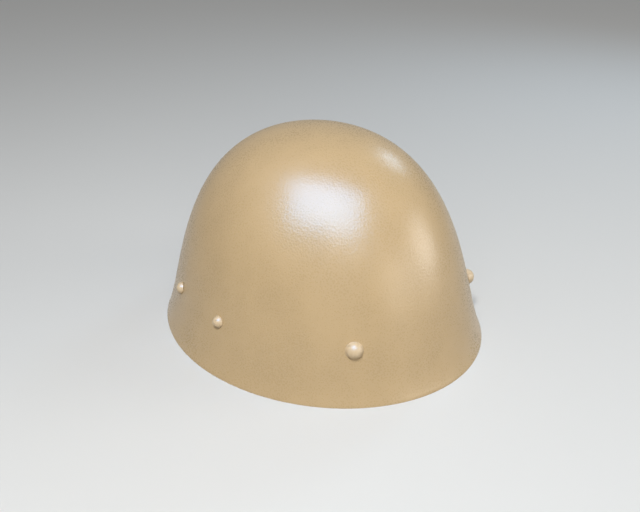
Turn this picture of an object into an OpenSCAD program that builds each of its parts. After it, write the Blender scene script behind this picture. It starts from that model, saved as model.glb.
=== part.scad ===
// Steel helmet: a pressed dome on a sprung leather liner, with a buckled chinstrap.
// The brow faces -Y, the wearer's left is +X and the rim lies in the plane Z = 0.

/* [Shell] */
// Outside width of the rim, ear to ear
shell_width = 240; // [232:1:250]
// Outside length of the rim, brow to nape
shell_length = 277; // [268:1:290]
// Height of the crown above the rim
shell_height = 160; // [152:1:170]
// Thickness of the steel
shell_wall = 1.2; // [1:0.1:1.6]
// Lean of the wall at the rim, in degrees from vertical
rim_lean = 24; // [18:1:28]
// How far the rim's lean carries up the wall
rim_reach = 42.5; // [38:0.5:48]
// How far the crown's level top carries out from the middle
crown_reach = 102.5; // [96:0.5:106]

/* [Shell rivets] */
// Height of the six rivets above the rim
rivet_height = 40; // [38:0.5:44]
// Place of the two front liner rivets, in degrees from the brow
front_rivet_angle = 40; // [34:1:46]
// Place of the two rear liner rivets, in degrees from the brow
rear_rivet_angle = 118; // [114:1:124]
// Diameter of a large rivet head
large_head_d = 13; // [11:0.5:14]
// Height of a large rivet head
large_head_h = 5.4; // [4:0.2:6]
// Diameter of a small rivet head
small_head_d = 9.6; // [8:0.2:11]
// Height of a small rivet head
small_head_h = 4.2; // [3:0.2:4.6]
// Diameter of a shell rivet's shank
shank_d = 5; // [4:0.5:6]
// Diameter of a shell rivet's upset tail
tail_d = 8; // [7:0.5:9]
// Height of a shell rivet's upset tail
tail_h = 1.8; // [1.2:0.2:2.4]
// Diameter of a washer under a tail
washer_d = 11; // [10:0.5:12]
// Thickness of a washer
washer_t = 1; // [0.6:0.1:1.4]

/* [Liner] */
// Inside width of the headband
head_width = 154; // [150:1:158]
// Inside length of the headband
head_length = 194; // [188:1:198]
// Thickness of the headband leather
leather_t = 1.6; // [1.2:0.1:2]
// Thickness of the felt pad
felt_t = 4; // [3:0.5:5]
// Thickness of the metal liner band
band_t = 1.2; // [0.8:0.1:1.4]
// Height of the liner band
band_h = 20; // [18:0.5:22]
// Height of the liner band's lower edge above the rim
band_bottom = 30; // [29:0.5:32]
// How far the leather reaches below the band
leather_drop = 2; // [1:0.5:2.5]
// Number of leather tongues
tongue_count = 8; // [6:1:10]
// Height of the tongue tips above the rim
crown_z = 114; // [104:1:118]
// Radius of the open crown, measured across the head
crown_r = 36; // [30:1:42]
// How far above the band the tongues still rise straight
tongue_rise = 35.2; // [30:0.4:40]
// How far in from the head's side the tongues' curve turns level
tongue_round = 14; // [10:0.5:18]
// How far the tongues' curve falls from their tips to that turn
tongue_slope = 6; // [4:0.5:8]
// Width of a slot between tongues at its foot
slot_foot_w = 4; // [3:0.5:6]
// Width of a slot between tongues at the crown
slot_top_w = 13; // [10:0.5:15]
// Height of a slot's foot above the band
slot_rise = 10; // [8:0.5:14]
// Thickness of the drawstring
cord_d = 2.6; // [2:0.2:3]
// Radius of the drawstring's knot
knot_r = 3.4; // [3:0.1:4]
// Places of the rivets through band and leather, in degrees from the brow
leather_rivet_angles = [0, 66, 92, 149, 180, 211, 268, 294];

/* [Leaf springs] */
// Width of a leaf spring
spring_w = 18; // [16:0.5:20]
// Thickness of a leaf spring
spring_t = 1; // [0.8:0.1:1.2]
// Length of a spring's foot on the shell
spring_foot = 17; // [15:0.5:18]
// Height of a spring's lower end above the band's lower edge
pad_rise = 1; // [0.5:0.5:2]
// How far the middle of a spring's two band rivets lies below the band's middle
pad_drop = 1.5; // [1:0.5:2]

/* [Small rivets] */
// Shank diameter of the small tubular rivets
pop_d = 3; // [2.6:0.2:3.4]
// Head diameter of the small tubular rivets
pop_head_d = 5.6; // [5:0.2:6.4]
// Head height of the small tubular rivets
pop_head_h = 0.8; // [0.6:0.1:1]
// Distance between the two rivets of a spring pad
pad_pitch = 8; // [7:0.5:9]
// Gap round a spring's rivet heads in the felt
felt_room = 0.5; // [0.4:0.1:1]

/* [Chinstrap lugs] */
// Thickness of a lug, cut from steel strip
lug_t = 1.5; // [1.2:0.1:1.8]
// Width of a lug
lug_w = 16; // [14:0.5:18]
// Length of a lug's foot on the shell
lug_foot = 16; // [14:0.5:17]
// How far a lug is cranked away from the shell
lug_crank = 2.2; // [2:0.1:3]
// Height of a lug's crank
lug_drop = 4; // [3:0.5:5]
// Height of the strap pivots above the rim
pivot_height = 24; // [23:0.5:25]
// Diameter of a pivot rivet's shank
pivot_d = 4; // [3.5:0.1:4.5]
// Diameter of a pivot rivet's heads
pivot_head_d = 7.4; // [6.5:0.1:8]
// Height of a pivot rivet's heads
pivot_head_h = 1.5; // [1.2:0.1:1.8]

/* [Strap swivels] */
// Thickness of a swivel plate
swivel_t = 1.6; // [1.4:0.1:1.8]
// Radius of a swivel's eye round its pivot
swivel_eye_r = 6.4; // [5.5:0.1:7]
// Distance from the pivot to the middle of the strap bar
bar_reach = 14; // [13.5:0.1:15]
// Width of the strap bar
bar_w = 2.4; // [2:0.1:2.8]
// Width of the metal beside the strap slot
cheek_w = 2.2; // [2:0.1:3]
// Cut of a swivel plate's far corners
swivel_corner = 1; // [0.6:0.1:1.4]

/* [Chinstrap] */
// Width of the strap
strap_w = 15; // [14:0.5:16]
// Thickness of the strap leather
strap_t = 1.8; // [1.5:0.1:2]
// How far inside the rim the tucked strap stays at the nape
tuck_gap = 17.3; // [16:0.1:20]
// Inward lean of a strap leg, in degrees
leg_lean = 26; // [25:0.5:28]
// Length of the doubled leather at the right end
fold_length = 24; // [20:1:30]
// Distance from a strap end's eye to its rivet
end_rivet_reach = 13; // [10:0.5:16]

/* [Buckle] */
// Distance from the left bar to the buckle's heel bar
heel_reach = 34; // [33:0.5:36]
// Distance from the heel bar to the toe bar
buckle_length = 18; // [17:0.5:19]
// Diameter of the buckle wire
wire_d = 2.4; // [2.2:0.1:2.6]
// Outside diameter of the roller
roller_d = 4; // [3.8:0.1:4.4]
// Diameter of the tongue's pin
pin_d = 2; // [1.6:0.1:2.2]
// Width of the tongue's eye on the heel bar
eye_w = 4; // [3.5:0.1:4.5]
// Thickness of the metal round the tongue's eye
eye_wall = 1.3; // [1.2:0.1:1.6]
// How far the tongue turns before the strap stops it
tongue_swing = 15; // [10:1:18]
// Distance between the punched strap holes
hole_pitch = 11; // [10:0.5:12]
// Diameter of a punched strap hole
hole_d = 3.2; // [3:0.1:3.6]
// Distance from the heel bar to the hole that the tongue stands in
tongue_hole = 7; // [6:0.5:8]
// Distance from the heel bar back to the strap's tip
tip_length = 25; // [22:0.5:27]
// How far before the toe bar the strap levels out under the roller
roller_lead = 3; // [2.6:0.2:4]
// How far the strap lies level over the heel bar, before it and after it
heel_lead = 1; // [0.5:0.5:2]
heel_trail = 2; // [1.5:0.5:3]
// Length over which the strap's tip comes down on the short strap
lay_length = 7; // [6:0.5:9]
// Distance from the left bar to the middle of the keeper
keeper_reach = 20; // [18:0.5:22]
// Length of the keeper along the strap
keeper_w = 7; // [5:0.5:9]
// Thickness of the keeper's leather
keeper_t = 1.2; // [1:0.1:1.6]

/* [Clearances] */
// Gap between a flat foot and the curved wall it is riveted to
seat_gap = 0.6; // [0.55:0.05:0.8]
// Gap round a shank in its hole
shank_gap = 0.05; // [0.02:0.01:0.08]
// Running fit of a turning piece on its pin, per side
run_gap = 0.06; // [0.03:0.01:0.1]
// Side gap between turning flat pieces
side_gap = 0.2; // [0.15:0.05:0.3]
// Gap between layers of leather and felt
layer_gap = 0.1; // [0.05:0.05:0.2]
// Gap between the strap and what it passes
strap_gap = 0.3; // [0.25:0.05:0.4]
// Gap under the tucked strap
floor_gap = 0.6; // [0.4:0.1:1]

/* [Hidden] */
$fn = 72;

// Length of a cut through everything, of a drill through the wall's stack and of one through thin layers
through = 400;
wall_drill = 20;
drill = 16;
// How far a cutter runs past what it cuts, and a hair of overlap where pieces of one solid meet
over = 1;
hair = 0.01;

// Shell outline: one cubic curve from the rim to the crown
rim_r = shell_width / 2;
shell_k = shell_length / shell_width;
curve = [
    [rim_r, 0],
    [rim_r - rim_reach * sin(rim_lean), rim_reach * cos(rim_lean)],
    [crown_reach, shell_height],
    [0, shell_height]
];
curve_steps = 18;
curve_end = 0.985;
oval_sides = 60;
function bez(p, t) = pow(1 - t, 3) * p[0] + 3 * pow(1 - t, 2) * t * p[1]
    + 3 * (1 - t) * pow(t, 2) * p[2] + pow(t, 3) * p[3];
function bez_slope(p, t) = 3 * pow(1 - t, 2) * (p[1] - p[0]) + 6 * (1 - t) * t * (p[2] - p[1])
    + 3 * pow(t, 2) * (p[3] - p[2]);
function bez_inset(p, t, depth) = let (d = bez_slope(p, t))
    bez(p, t) - depth * [d.y, -d.x] / norm(d);
// Place on a rising curve that has the height z, found by halving
function bez_at(p, z, low = 0, high = 1, step = 0) = let (mid = (low + high) / 2)
    step == 30 ? mid
    : bez(p, mid).y < z ? bez_at(p, z, mid, high, step + 1)
    : bez_at(p, z, low, mid, step + 1);

// The wall at a height: radius across the head, lean, and the outward normal at an angle from the brow
function wall_r(z) = bez(curve, bez_at(curve, z)).x;
function wall_lean(z) = let (d = bez_slope(curve, bez_at(curve, z))) atan2(-d.x, d.y);
function wall_point(angle, z) = [wall_r(z) * sin(angle), -shell_k * wall_r(z) * cos(angle), z];
function wall_plan_point(angle) = let (p = wall_point(angle, rivet_height)) [p.x, p.y, 0];
function wall_plan(angle) = [sin(angle), -cos(angle) / shell_k];
function wall_heading(angle) = atan2(wall_plan(angle).y, wall_plan(angle).x);
function wall_tilt(angle, z) = atan2(tan(wall_lean(z)), norm(wall_plan(angle)));
rivet_angles = [front_rivet_angle, -front_rivet_angle, rear_rivet_angle, -rear_rivet_angle, 90, -90];
liner_rivet_angles = [for (i = [0:3]) rivet_angles[i]];

// Liner layers, counted outwards from the head
felt_in = leather_t + layer_gap;
band_in = felt_in + felt_t + layer_gap;
band_out = band_in + band_t;
band_mid_z = band_bottom + band_h / 2;
band_top = band_bottom + band_h;
leather_bottom = band_bottom - leather_drop;
head_stretch = (head_length - head_width) / 2;
leather_curve = [
    [head_width / 2 + leather_t, band_top],
    [head_width / 2 + leather_t, band_top + tongue_rise],
    [head_width / 2 - tongue_round, crown_z - tongue_slope],
    [crown_r, crown_z]
];
leather_steps = 12;
hem_bore_r = cord_d / 2 + 2 * layer_gap;
hem_r = hem_bore_r + leather_t;
hem_turn = 290;
hem_steps = 10;
hem_middle = bez_inset(leather_curve, 1, hem_r);
hem_lean = let (d = bez_slope(leather_curve, 1)) atan2(-d.x, d.y);

// Leaf spring: a foot on the wall, a bow over the top, and a pad on the band
foot_mid = shell_wall + seat_gap + spring_t / 2;
function spring_dir(angle) = wall_plan(angle) / norm(wall_plan(angle));
function band_reach(dir) =
    norm([(head_width / 2 + band_out) * dir.x, (head_length / 2 + band_out) * dir.y]);
function spring_span(angle) = let (p = wall_point(angle, rivet_height), u = spring_dir(angle))
    p.x * u.x + p.y * u.y - band_reach(u);
pad_bottom = band_bottom + pad_rise;
pad_mid = band_mid_z - pad_drop;
bow_steps = 24;

// How far in from the wall the line of a spring's rivets meets the band's inner face
function band_depth(angle) = let (
        p = wall_point(angle, rivet_height), u = spring_dir(angle),
        half_w = head_width / 2 + band_in, half_l = half_w + head_stretch,
        from = [p.x / half_w, p.y / half_l], along = [u.x / half_w, u.y / half_l],
        middle = from * along, spread = along * along)
    (middle - sqrt(middle * middle - spread * (from * from - 1))) / spread;

// Lug: the foot follows the wall, and the tab hangs plumb below it
lug_lean = wall_tilt(90, rivet_height);
lug_n = [cos(lug_lean), sin(lug_lean)];
lug_v = [-sin(lug_lean), cos(lug_lean)];
lug_seat = [wall_r(rivet_height), rivet_height] - (shell_wall + seat_gap) * lug_n;
lug_knee = lug_seat - lug_foot / 2 * lug_v;
tab_x = lug_knee.x - lug_crank;
tab_top = lug_knee.y - lug_drop;
swivel_x = tab_x - lug_t - side_gap - swivel_t;

// Chinstrap loop in its own plane: X across, Y from the pivots to the chin, Z across the strap
loop_x = swivel_x + swivel_t / 2;
loop_depth = shell_length / 2 - tuck_gap;
leg_length = (loop_depth - strap_t / 2 - bar_reach) * cos(leg_lean) / (1 - sin(leg_lean)) - loop_x;
leg_end = [loop_x - leg_length * sin(leg_lean), bar_reach + leg_length * cos(leg_lean)];
loop_r = leg_end.x / cos(leg_lean);
loop_y = leg_end.y - loop_r * sin(leg_lean);
rest_tilt = asin((pivot_height - strap_w / 2 - floor_gap) / loop_depth);
bar_hole_r = norm([bar_w, swivel_t]) / 2 + strap_gap;
bar_eye_r = bar_hole_r + strap_t;
heel_hole_r = wire_d / 2 + strap_gap / 2;
heel_eye_r = heel_hole_r + strap_t;
// Where an eye narrows to the doubled leather, in radii of the eye
neck_start = [0.2, 0.95];
neck_end = 2.6;
slot_w = strap_w + 2 * strap_gap;
slot_l = bar_eye_r - bar_w / 2 + strap_gap;
plate_w = slot_w + 2 * cheek_w;

// Buckle: places along the left leg and heights above its middle plane
toe_reach = heel_reach + buckle_length;
side_z = strap_w / 2 + 2 * strap_gap + wire_d / 2;
corner_r = wire_d;
lane_under = -(roller_d / 2 + strap_gap + strap_t / 2);
lane_over = heel_eye_r + strap_gap + strap_t / 2;
lane_flat = strap_t + strap_gap + strap_t / 2;
eye_r = wire_d / 2 + run_gap + eye_wall;
pin_foot = eye_r - pin_d / 2;
pin_rest = roller_d / 2 + strap_gap + pin_d / 2;
pin_rise = atan2(pin_rest - pin_foot, buckle_length);
pin_length = buckle_length / cos(pin_rise) + pin_d;
lane_steps = 10;
// A smooth slope between two stations, each [place along the leg, height of the strap's middle]
function slope(start, end) = [for (i = [0:lane_steps]) let (x = i / lane_steps)
    [start.x + (end.x - start.x) * x, start.y + (end.y - start.y) * (1 - cos(180 * x)) / 2]];
lane = concat(
    [[leg_length + hair, 0]],
    slope([leg_length, 0], [toe_reach + roller_lead, lane_under]),
    slope([toe_reach - wire_d, lane_under], [heel_reach + heel_lead, lane_over]),
    slope([heel_reach - heel_trail, lane_over], [heel_reach - heel_trail - lay_length, lane_flat]),
    [[heel_reach - tip_length, lane_flat]]
);
tongue_steps = 3;

module mirrored(side) {
    if (side > 0) children();
    else mirror([1, 0, 0]) children();
}

// Children stand on the shell's outside, their Z along its normal and their -X up the wall
module on_wall(angle, z) {
    translate(wall_point(angle, z))
        rotate([0, 90 - wall_tilt(angle, z), wall_heading(angle)])
            children();
}

// Children stand on an oval round the head, their X pointing outwards
module on_oval(angle, grow) {
    half_w = head_width / 2 + grow;
    half_l = half_w + head_stretch;
    translate([half_w * sin(angle), -half_l * cos(angle), 0])
        rotate([0, 0, atan2(-cos(angle) / half_l, sin(angle) / half_w)])
            children();
}

module in_loop() {
    translate([0, 0, pivot_height])
        rotate([-rest_tilt, 0, 0])
            children();
}

// Children lie on a strap leg: X along it, Y outwards, Z across the strap
module on_leg(side) {
    in_loop()
        mirrored(side)
            translate([loop_x, bar_reach, 0])
                rotate([0, 0, 90 + leg_lean])
                    mirror([0, 1, 0])
                        children();
}

// A skin through oval rings, each [half width, half length, height], closed on itself or capped at
// both ends
module oval_loft(rings, closed = false) {
    n = len(rings);
    m = oval_sides;
    points = [for (ring = rings) for (j = [0:m - 1]) let (turn = 360 * j / m)
        [ring[0] * cos(turn), ring[1] * sin(turn), ring[2]]];
    walls = [for (i = [0:closed ? n - 1 : n - 2]) for (j = [0:m - 1])
        let (low = i * m, high = (i + 1) % n * m, k = (j + 1) % m)
            each [[low + j, high + k, low + k], [low + j, high + j, high + k]]];
    caps = closed ? [] : [[for (j = [0:m - 1]) j], [for (j = [m - 1:-1:0]) (n - 1) * m + j]];
    polyhedron(points, concat(walls, caps), convexity = 6);
}

module helmet_shell() {
    foot_r = rim_r - shell_wall / cos(rim_lean);
    foot_k = (shell_length / 2 - shell_wall / cos(rim_lean)) / foot_r;
    inside = [for (i = [curve_steps:-1:1]) bez_inset(curve, curve_end * i / curve_steps, shell_wall)];
    outside = [for (i = [1:curve_steps]) bez(curve, curve_end * i / curve_steps)];
    color("#b59e79")
        difference() {
            oval_loft(concat(
                [for (p = concat(inside, [[foot_r, 0]])) [p.x, p.x * foot_k, p.y]],
                [for (p = concat([[rim_r, 0]], outside)) [p.x, p.x * shell_k, p.y]]));
            for (angle = rivet_angles)
                on_wall(angle, rivet_height)
                    wall_hole();
        }
}

module wall_hole() {
    rotate([0, 0, 90]) cylinder(d = shank_d + 2 * shank_gap, h = wall_drill, center = true);
}

// A drill for thin layers, along Z, and a hole for a small rivet, along X
module drilled(d) {
    cylinder(d = d, h = drill, center = true);
}

module pop_hole(d = pop_d + 2 * shank_gap) {
    rotate([0, 90, 0]) drilled(d);
}

// A domed cap: the part of a ball that has this base diameter and height
module cap(d, h) {
    ball_r = (pow(d / 2, 2) + pow(h, 2)) / (2 * h);
    intersection() {
        translate([0, 0, h - ball_r]) sphere(r = ball_r);
        cylinder(d = d, h = h + hair);
    }
}

// A shell rivet: a domed head outside, and a tail upset over the stack inside
module shell_rivet(angle, head_d, head_h, stack) {
    grip = shell_wall + seat_gap + stack + washer_t;
    color("#c3b190")
        on_wall(angle, rivet_height) {
            cap(head_d, head_h);
            translate([0, 0, -grip - tail_h / 2]) cylinder(d = shank_d, h = grip + tail_h / 2 + hair);
            translate([0, 0, -grip]) mirror([0, 0, 1]) cap(tail_d, tail_h);
        }
}

module shell_rivet_washers() {
    color("#8d8a84")
        for (angle = rivet_angles)
            on_wall(angle, rivet_height) {
                stack = abs(angle) == 90 ? lug_t : spring_t;
                translate([0, 0, -shell_wall - seat_gap - stack - washer_t])
                    difference() {
                        cylinder(d = washer_d, h = washer_t);
                        wall_hole();
                    }
            }
}

// A leaf spring, drawn in the upright plane through its rivet: X outwards from the wall, then height
module leaf_spring(angle) {
    tilt = wall_tilt(angle, rivet_height);
    n = [cos(tilt), sin(tilt)];
    v = [-sin(tilt), cos(tilt)];
    low = [0, rivet_height] - foot_mid * n - spring_foot / 2 * v;
    top = low + spring_foot * v;
    bow_r = (spring_span(angle) - spring_t / 2 + top.x) / (1 + cos(tilt));
    bow = top - bow_r * n;
    turns = [for (i = [0:bow_steps]) tilt + (180 - tilt) * i / bow_steps];
    half = spring_t / 2;
    color("#77777a")
        difference() {
            translate(wall_plan_point(angle))
                rotate([90, 0, wall_heading(angle)])
                    linear_extrude(spring_w, center = true)
                        polygon(concat(
                            [low + half * n],
                            [for (turn = turns) bow + (bow_r + half) * [cos(turn), sin(turn)]],
                            [[bow.x - bow_r - half, pad_bottom], [bow.x - bow_r + half, pad_bottom]],
                            [for (i = [bow_steps:-1:0]) let (turn = turns[i])
                                bow + (bow_r - half) * [cos(turn), sin(turn)]],
                            [low - half * n]));
            on_wall(angle, rivet_height) wall_hole();
            on_pad(angle) pop_hole();
        }
}

// Children stand at both rivets of a spring's pad, their X pointing outwards and X = 0 on the band
module on_pad(angle) {
    u = spring_dir(angle);
    pad = wall_plan_point(angle) - spring_span(angle) * [u.x, u.y, 0];
    for (side = [-1, 1])
        translate(pad + [0, 0, pad_mid + side * pad_pitch / 2])
            rotate([0, 0, wall_heading(angle)])
                children();
}

// A ring round the head between two offsets from its oval
module oval_ring(inner, outer, bottom, top) {
    translate([0, 0, bottom])
        linear_extrude(top - bottom)
            difference() {
                oval(outer);
                oval(inner);
            }
}

module oval(grow) {
    half_w = head_width / 2 + grow;
    polygon([for (j = [0:oval_sides - 1]) let (turn = 360 * j / oval_sides)
        [half_w * cos(turn), (half_w + head_stretch) * sin(turn)]]);
}

module liner_band() {
    color("#9a9a97")
        difference() {
            oval_ring(band_in, band_out, band_bottom, band_top);
            for (angle = liner_rivet_angles)
                on_pad(angle) pop_hole();
            leather_rivet_holes();
        }
}

module leather_rivet_holes() {
    for (angle = leather_rivet_angles)
        on_oval(angle, band_out)
            translate([-band_out / 2, 0, band_mid_z]) pop_hole();
}

// A tubular rivet along X, its outer head seated at X = 0 and its inner head at X = -grip
module pop_rivet(grip) {
    rotate([0, 90, 0]) {
        cap(pop_head_d, pop_head_h);
        translate([0, 0, -grip - hair]) cylinder(d = pop_d, h = grip + 2 * hair);
        translate([0, 0, -grip]) mirror([0, 0, 1]) cap(pop_head_d, pop_head_h);
    }
}

module spring_pad_rivets() {
    color("#8d8a84")
        for (angle = liner_rivet_angles)
            on_pad(angle)
                translate([spring_t, 0, 0])
                    pop_rivet(spring_t + band_depth(angle) - spring_span(angle) + seat_gap);
}

module felt_pad() {
    color("#6f6a5c")
        difference() {
            oval_ring(felt_in, band_in - layer_gap, band_bottom, band_top);
            for (angle = liner_rivet_angles)
                on_pad(angle) pop_hole(pop_head_d + 2 * felt_room);
            leather_rivet_holes();
        }
}

// The leather: a band round the head, then a curve in to a hem that is turned over the drawstring
module leather_liner() {
    outer_r = head_width / 2 + leather_t;
    outside = [for (i = [0:leather_steps - 1]) bez(leather_curve, i / leather_steps)];
    inside = [for (i = [leather_steps - 1:-1:0]) bez_inset(leather_curve, i / leather_steps, leather_t)];
    fold = [for (i = [0:hem_steps]) hem_point(hem_r, i)];
    bore = [for (i = [hem_steps:-1:0]) hem_point(hem_bore_r, i)];
    profile = concat([[outer_r, leather_bottom]], outside, fold, bore, inside,
        [[outer_r - leather_t, leather_bottom]]);
    color("#8a5a33")
        difference() {
            oval_loft([for (p = profile) [p.x, p.x + head_stretch, p.y]], closed = true);
            for (i = [0:tongue_count - 1])
                rotate([0, 0, (i + 0.5) * 360 / tongue_count]) tongue_slot();
            leather_rivet_holes();
        }
}

function hem_point(r, i) = let (turn = hem_lean + hem_turn * i / hem_steps)
    hem_middle + r * [cos(turn), sin(turn)];

module cord_ring(r) {
    sides = 8;
    oval_loft([for (i = [0:sides - 1])
        let (turn = 360 * i / sides, p = hem_middle + r * [cos(turn), sin(turn)])
            [p.x, p.x + head_stretch, p.y]], closed = true);
}

// One slot between two tongues: round at its foot, wider towards the crown
module tongue_slot() {
    foot_z = band_top + slot_rise + slot_foot_w / 2;
    top_z = crown_z + 2 * hem_r;
    rotate([90, 0, 90])
        linear_extrude(head_length) {
            translate([0, foot_z]) circle(d = slot_foot_w);
            polygon([[-slot_foot_w / 2, foot_z], [slot_foot_w / 2, foot_z],
                [slot_top_w / 2, top_z], [-slot_top_w / 2, top_z]]);
        }
}

module leather_rivets() {
    color("#8d8a84")
        for (angle = leather_rivet_angles)
            on_oval(angle, band_out)
                translate([seat_gap / 3, 0, band_mid_z]) pop_rivet(band_out + seat_gap);
}

module drawstring() {
    color("#cbb68c") cord_ring(cord_d / 2);
}

// The knot sits in the slot nearest the nape, on the drawstring
module drawstring_knot() {
    slot = 90 + 180 / tongue_count;
    turn = atan2(sin(slot) / (hem_middle.x + head_stretch), cos(slot) / hem_middle.x);
    color("#cbb68c")
        difference() {
            translate([hem_middle.x * cos(turn), (hem_middle.x + head_stretch) * sin(turn), hem_middle.y])
                sphere(r = knot_r);
            cord_ring(cord_d / 2 + layer_gap / 2);
        }
}

// A strap lug, drawn across the head and upwards: a foot on the wall, a crank and a plumb tab
module strap_lug(side) {
    tab_bottom = pivot_height - lug_w / 2;
    top = lug_seat + lug_foot / 2 * lug_v;
    color("#8f8a80")
        mirrored(side)
            difference() {
                intersection() {
                    rotate([90, 0, 0])
                        linear_extrude(lug_w, center = true)
                            polygon([top, lug_knee, [tab_x, tab_top], [tab_x, tab_bottom],
                                [tab_x - lug_t, tab_bottom], [tab_x - lug_t, tab_top + lug_t / 2],
                                lug_knee - lug_t * lug_n + [0, lug_t / 2], top - lug_t * lug_n]);
                    translate([0, 0, pivot_height])
                        rotate([0, 90, 0]) {
                            cylinder(d = lug_w, h = through);
                            translate([-through, -lug_w / 2, 0]) cube([through, lug_w, through]);
                        }
                }
                translate([0, 0, pivot_height])
                    rotate([0, 90, 0]) cylinder(d = pivot_d + 2 * shank_gap, h = through);
                on_wall(90, rivet_height) wall_hole();
            }
}

module pivot_rivet(side) {
    grip = lug_t + swivel_t + 2 * side_gap;
    color("#a39d90")
        mirrored(side)
            translate([tab_x, 0, pivot_height])
                rotate([0, 90, 0]) {
                    cap(pivot_head_d, pivot_head_h);
                    translate([0, 0, -grip - hair]) cylinder(d = pivot_d, h = grip + 2 * hair);
                    translate([0, 0, -grip]) mirror([0, 0, 1]) cap(pivot_head_d, pivot_head_h);
                }
}

// A swivel plate: an eye on the pivot, and a slot that leaves the strap bar at its far edge
module strap_swivel(side) {
    far = bar_reach + bar_w / 2;
    shoulder = [far - slot_l - cheek_w, plate_w / 2];
    corner = [far, plate_w / 2];
    color("#a39d90")
        in_loop()
            mirrored(side)
                translate([swivel_x, 0, 0])
                    rotate([0, 90, 0])
                        rotate([0, 0, 90])
                            difference() {
                                linear_extrude(swivel_t)
                                    difference() {
                                        union() {
                                            circle(r = swivel_eye_r);
                                            polygon([[0, -swivel_eye_r], [shoulder.x, -shoulder.y],
                                                [corner.x - swivel_corner, -corner.y],
                                                [corner.x, swivel_corner - corner.y],
                                                [corner.x, corner.y - swivel_corner],
                                                [corner.x - swivel_corner, corner.y],
                                                shoulder, [0, swivel_eye_r]]);
                                        }
                                        translate([far - bar_w - slot_l, -slot_w / 2])
                                            square([slot_l, slot_w]);
                                    }
                                translate([0, 0, -over])
                                    cylinder(r = pivot_d / 2 + run_gap, h = swivel_t + 2 * over);
                            }
}

// A strap end folded round a bar: its eye, and the fold drawn down to the doubled leather
module folded_eye(r) {
    cylinder(r = r, h = strap_w, center = true);
    flat_leather()
        polygon([[neck_start.x * r, neck_start.y * r], [neck_end * r, strap_t],
            [neck_end * r, -strap_t], [neck_start.x * r, -neck_start.y * r]]);
}

module flat_leather() {
    linear_extrude(strap_w, center = true) children();
}

module chinstrap_long() {
    color("#7c4f2c") {
        difference() {
            union() {
                on_leg(-1) {
                    folded_eye(bar_eye_r);
                    flat_leather() translate([bar_eye_r / 2, -strap_t])
                        square([fold_length - bar_eye_r / 2, 2 * strap_t]);
                    flat_leather() translate([fold_length - over, -strap_t / 2])
                        square([leg_length - fold_length + over + hair, strap_t]);
                }
                in_loop()
                    translate([0, loop_y, -strap_w / 2])
                        rotate([0, 0, leg_lean])
                            rotate_extrude(angle = 180 - 2 * leg_lean)
                                translate([loop_r - strap_t / 2, 0]) square([strap_t, strap_w]);
                on_leg(1)
                    flat_leather()
                        polygon(concat([for (p = lane) p + [0, strap_t / 2]],
                            [for (i = [len(lane) - 1:-1:0]) lane[i] - [0, strap_t / 2]]));
            }
            on_leg(-1) {
                cylinder(r = bar_hole_r, h = strap_w + 2 * over, center = true);
                translate([end_rivet_reach, 0, 0])
                    rotate([90, 0, 0]) drilled(pop_d + 2 * shank_gap);
            }
            on_leg(1) {
                for (i = [-2, -1, 1, 2])
                    translate([heel_reach + tongue_hole + i * hole_pitch, 0, 0])
                        rotate([90, 0, 0]) drilled(hole_d);
                tongue_cut();
            }
        }
    }
}

// The oblong hole that the tongue passes through, with room for its swing
module tongue_cut() {
    for (i = [0:tongue_steps])
        translate([heel_reach, 0, 0])
            rotate([0, 0, tongue_swing * i / tongue_steps])
                translate([0, pin_foot, 0])
                    rotate([0, 90, pin_rise]) cylinder(d = hole_d, h = buckle_length - roller_d);
}

module chinstrap_short() {
    color("#7c4f2c")
        on_leg(1)
            difference() {
                union() {
                    folded_eye(bar_eye_r);
                    translate([heel_reach, 0, 0]) rotate([0, 0, 180]) folded_eye(heel_eye_r);
                    flat_leather() translate([bar_eye_r / 2, -strap_t])
                        square([heel_reach - bar_eye_r / 2 - heel_eye_r / 2, 2 * strap_t]);
                }
                cylinder(r = bar_hole_r, h = strap_w + 2 * over, center = true);
                translate([heel_reach, 0, 0])
                    cylinder(r = heel_hole_r, h = strap_w + 2 * over, center = true);
                translate([heel_reach - eye_r - over, -through / 2, -eye_w / 2 - strap_gap])
                    cube([through, through, eye_w + 2 * strap_gap]);
            }
}

module strap_rivet() {
    color("#a39d90")
        on_leg(-1)
            translate([end_rivet_reach, 0, 0])
                rotate([0, 0, 90]) translate([strap_t, 0, 0]) pop_rivet(2 * strap_t);
}

module strap_keeper() {
    low = -strap_t - strap_gap;
    high = lane_flat + strap_t / 2 + strap_gap;
    half = strap_w / 2 + strap_gap;
    color("#6f4526")
        on_leg(1)
            translate([keeper_reach - keeper_w / 2, 0, 0])
                difference() {
                    translate([0, low - keeper_t, -half - keeper_t])
                        cube([keeper_w, high - low + 2 * keeper_t, 2 * (half + keeper_t)]);
                    translate([-over, low, -half]) cube([keeper_w + 2 * over, high - low, 2 * half]);
                }
}

// The buckle frame: one wire bent round four corners
module buckle_frame() {
    color("#a8a192")
        on_leg(1)
            translate([heel_reach, 0, 0])
                rotate([90, 0, 0])
                    for (turn = [0, 1])
                        translate([buckle_length / 2, 0, 0])
                            rotate([0, 0, 180 * turn])
                                translate([-buckle_length / 2, 0, 0]) {
                                    rotate([90, 0, 0])
                                        cylinder(d = wire_d, h = 2 * (side_z - corner_r), center = true);
                                    for (end = [-1, 1])
                                        translate([corner_r, end * (side_z - corner_r), 0])
                                            rotate([0, 0, end > 0 ? 90 : 180])
                                                rotate_extrude(angle = 90)
                                                    translate([corner_r, 0]) circle(d = wire_d);
                                    translate([corner_r, side_z, 0])
                                        rotate([0, 90, 0])
                                            cylinder(d = wire_d, h = buckle_length - 2 * corner_r);
                                }
}

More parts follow.
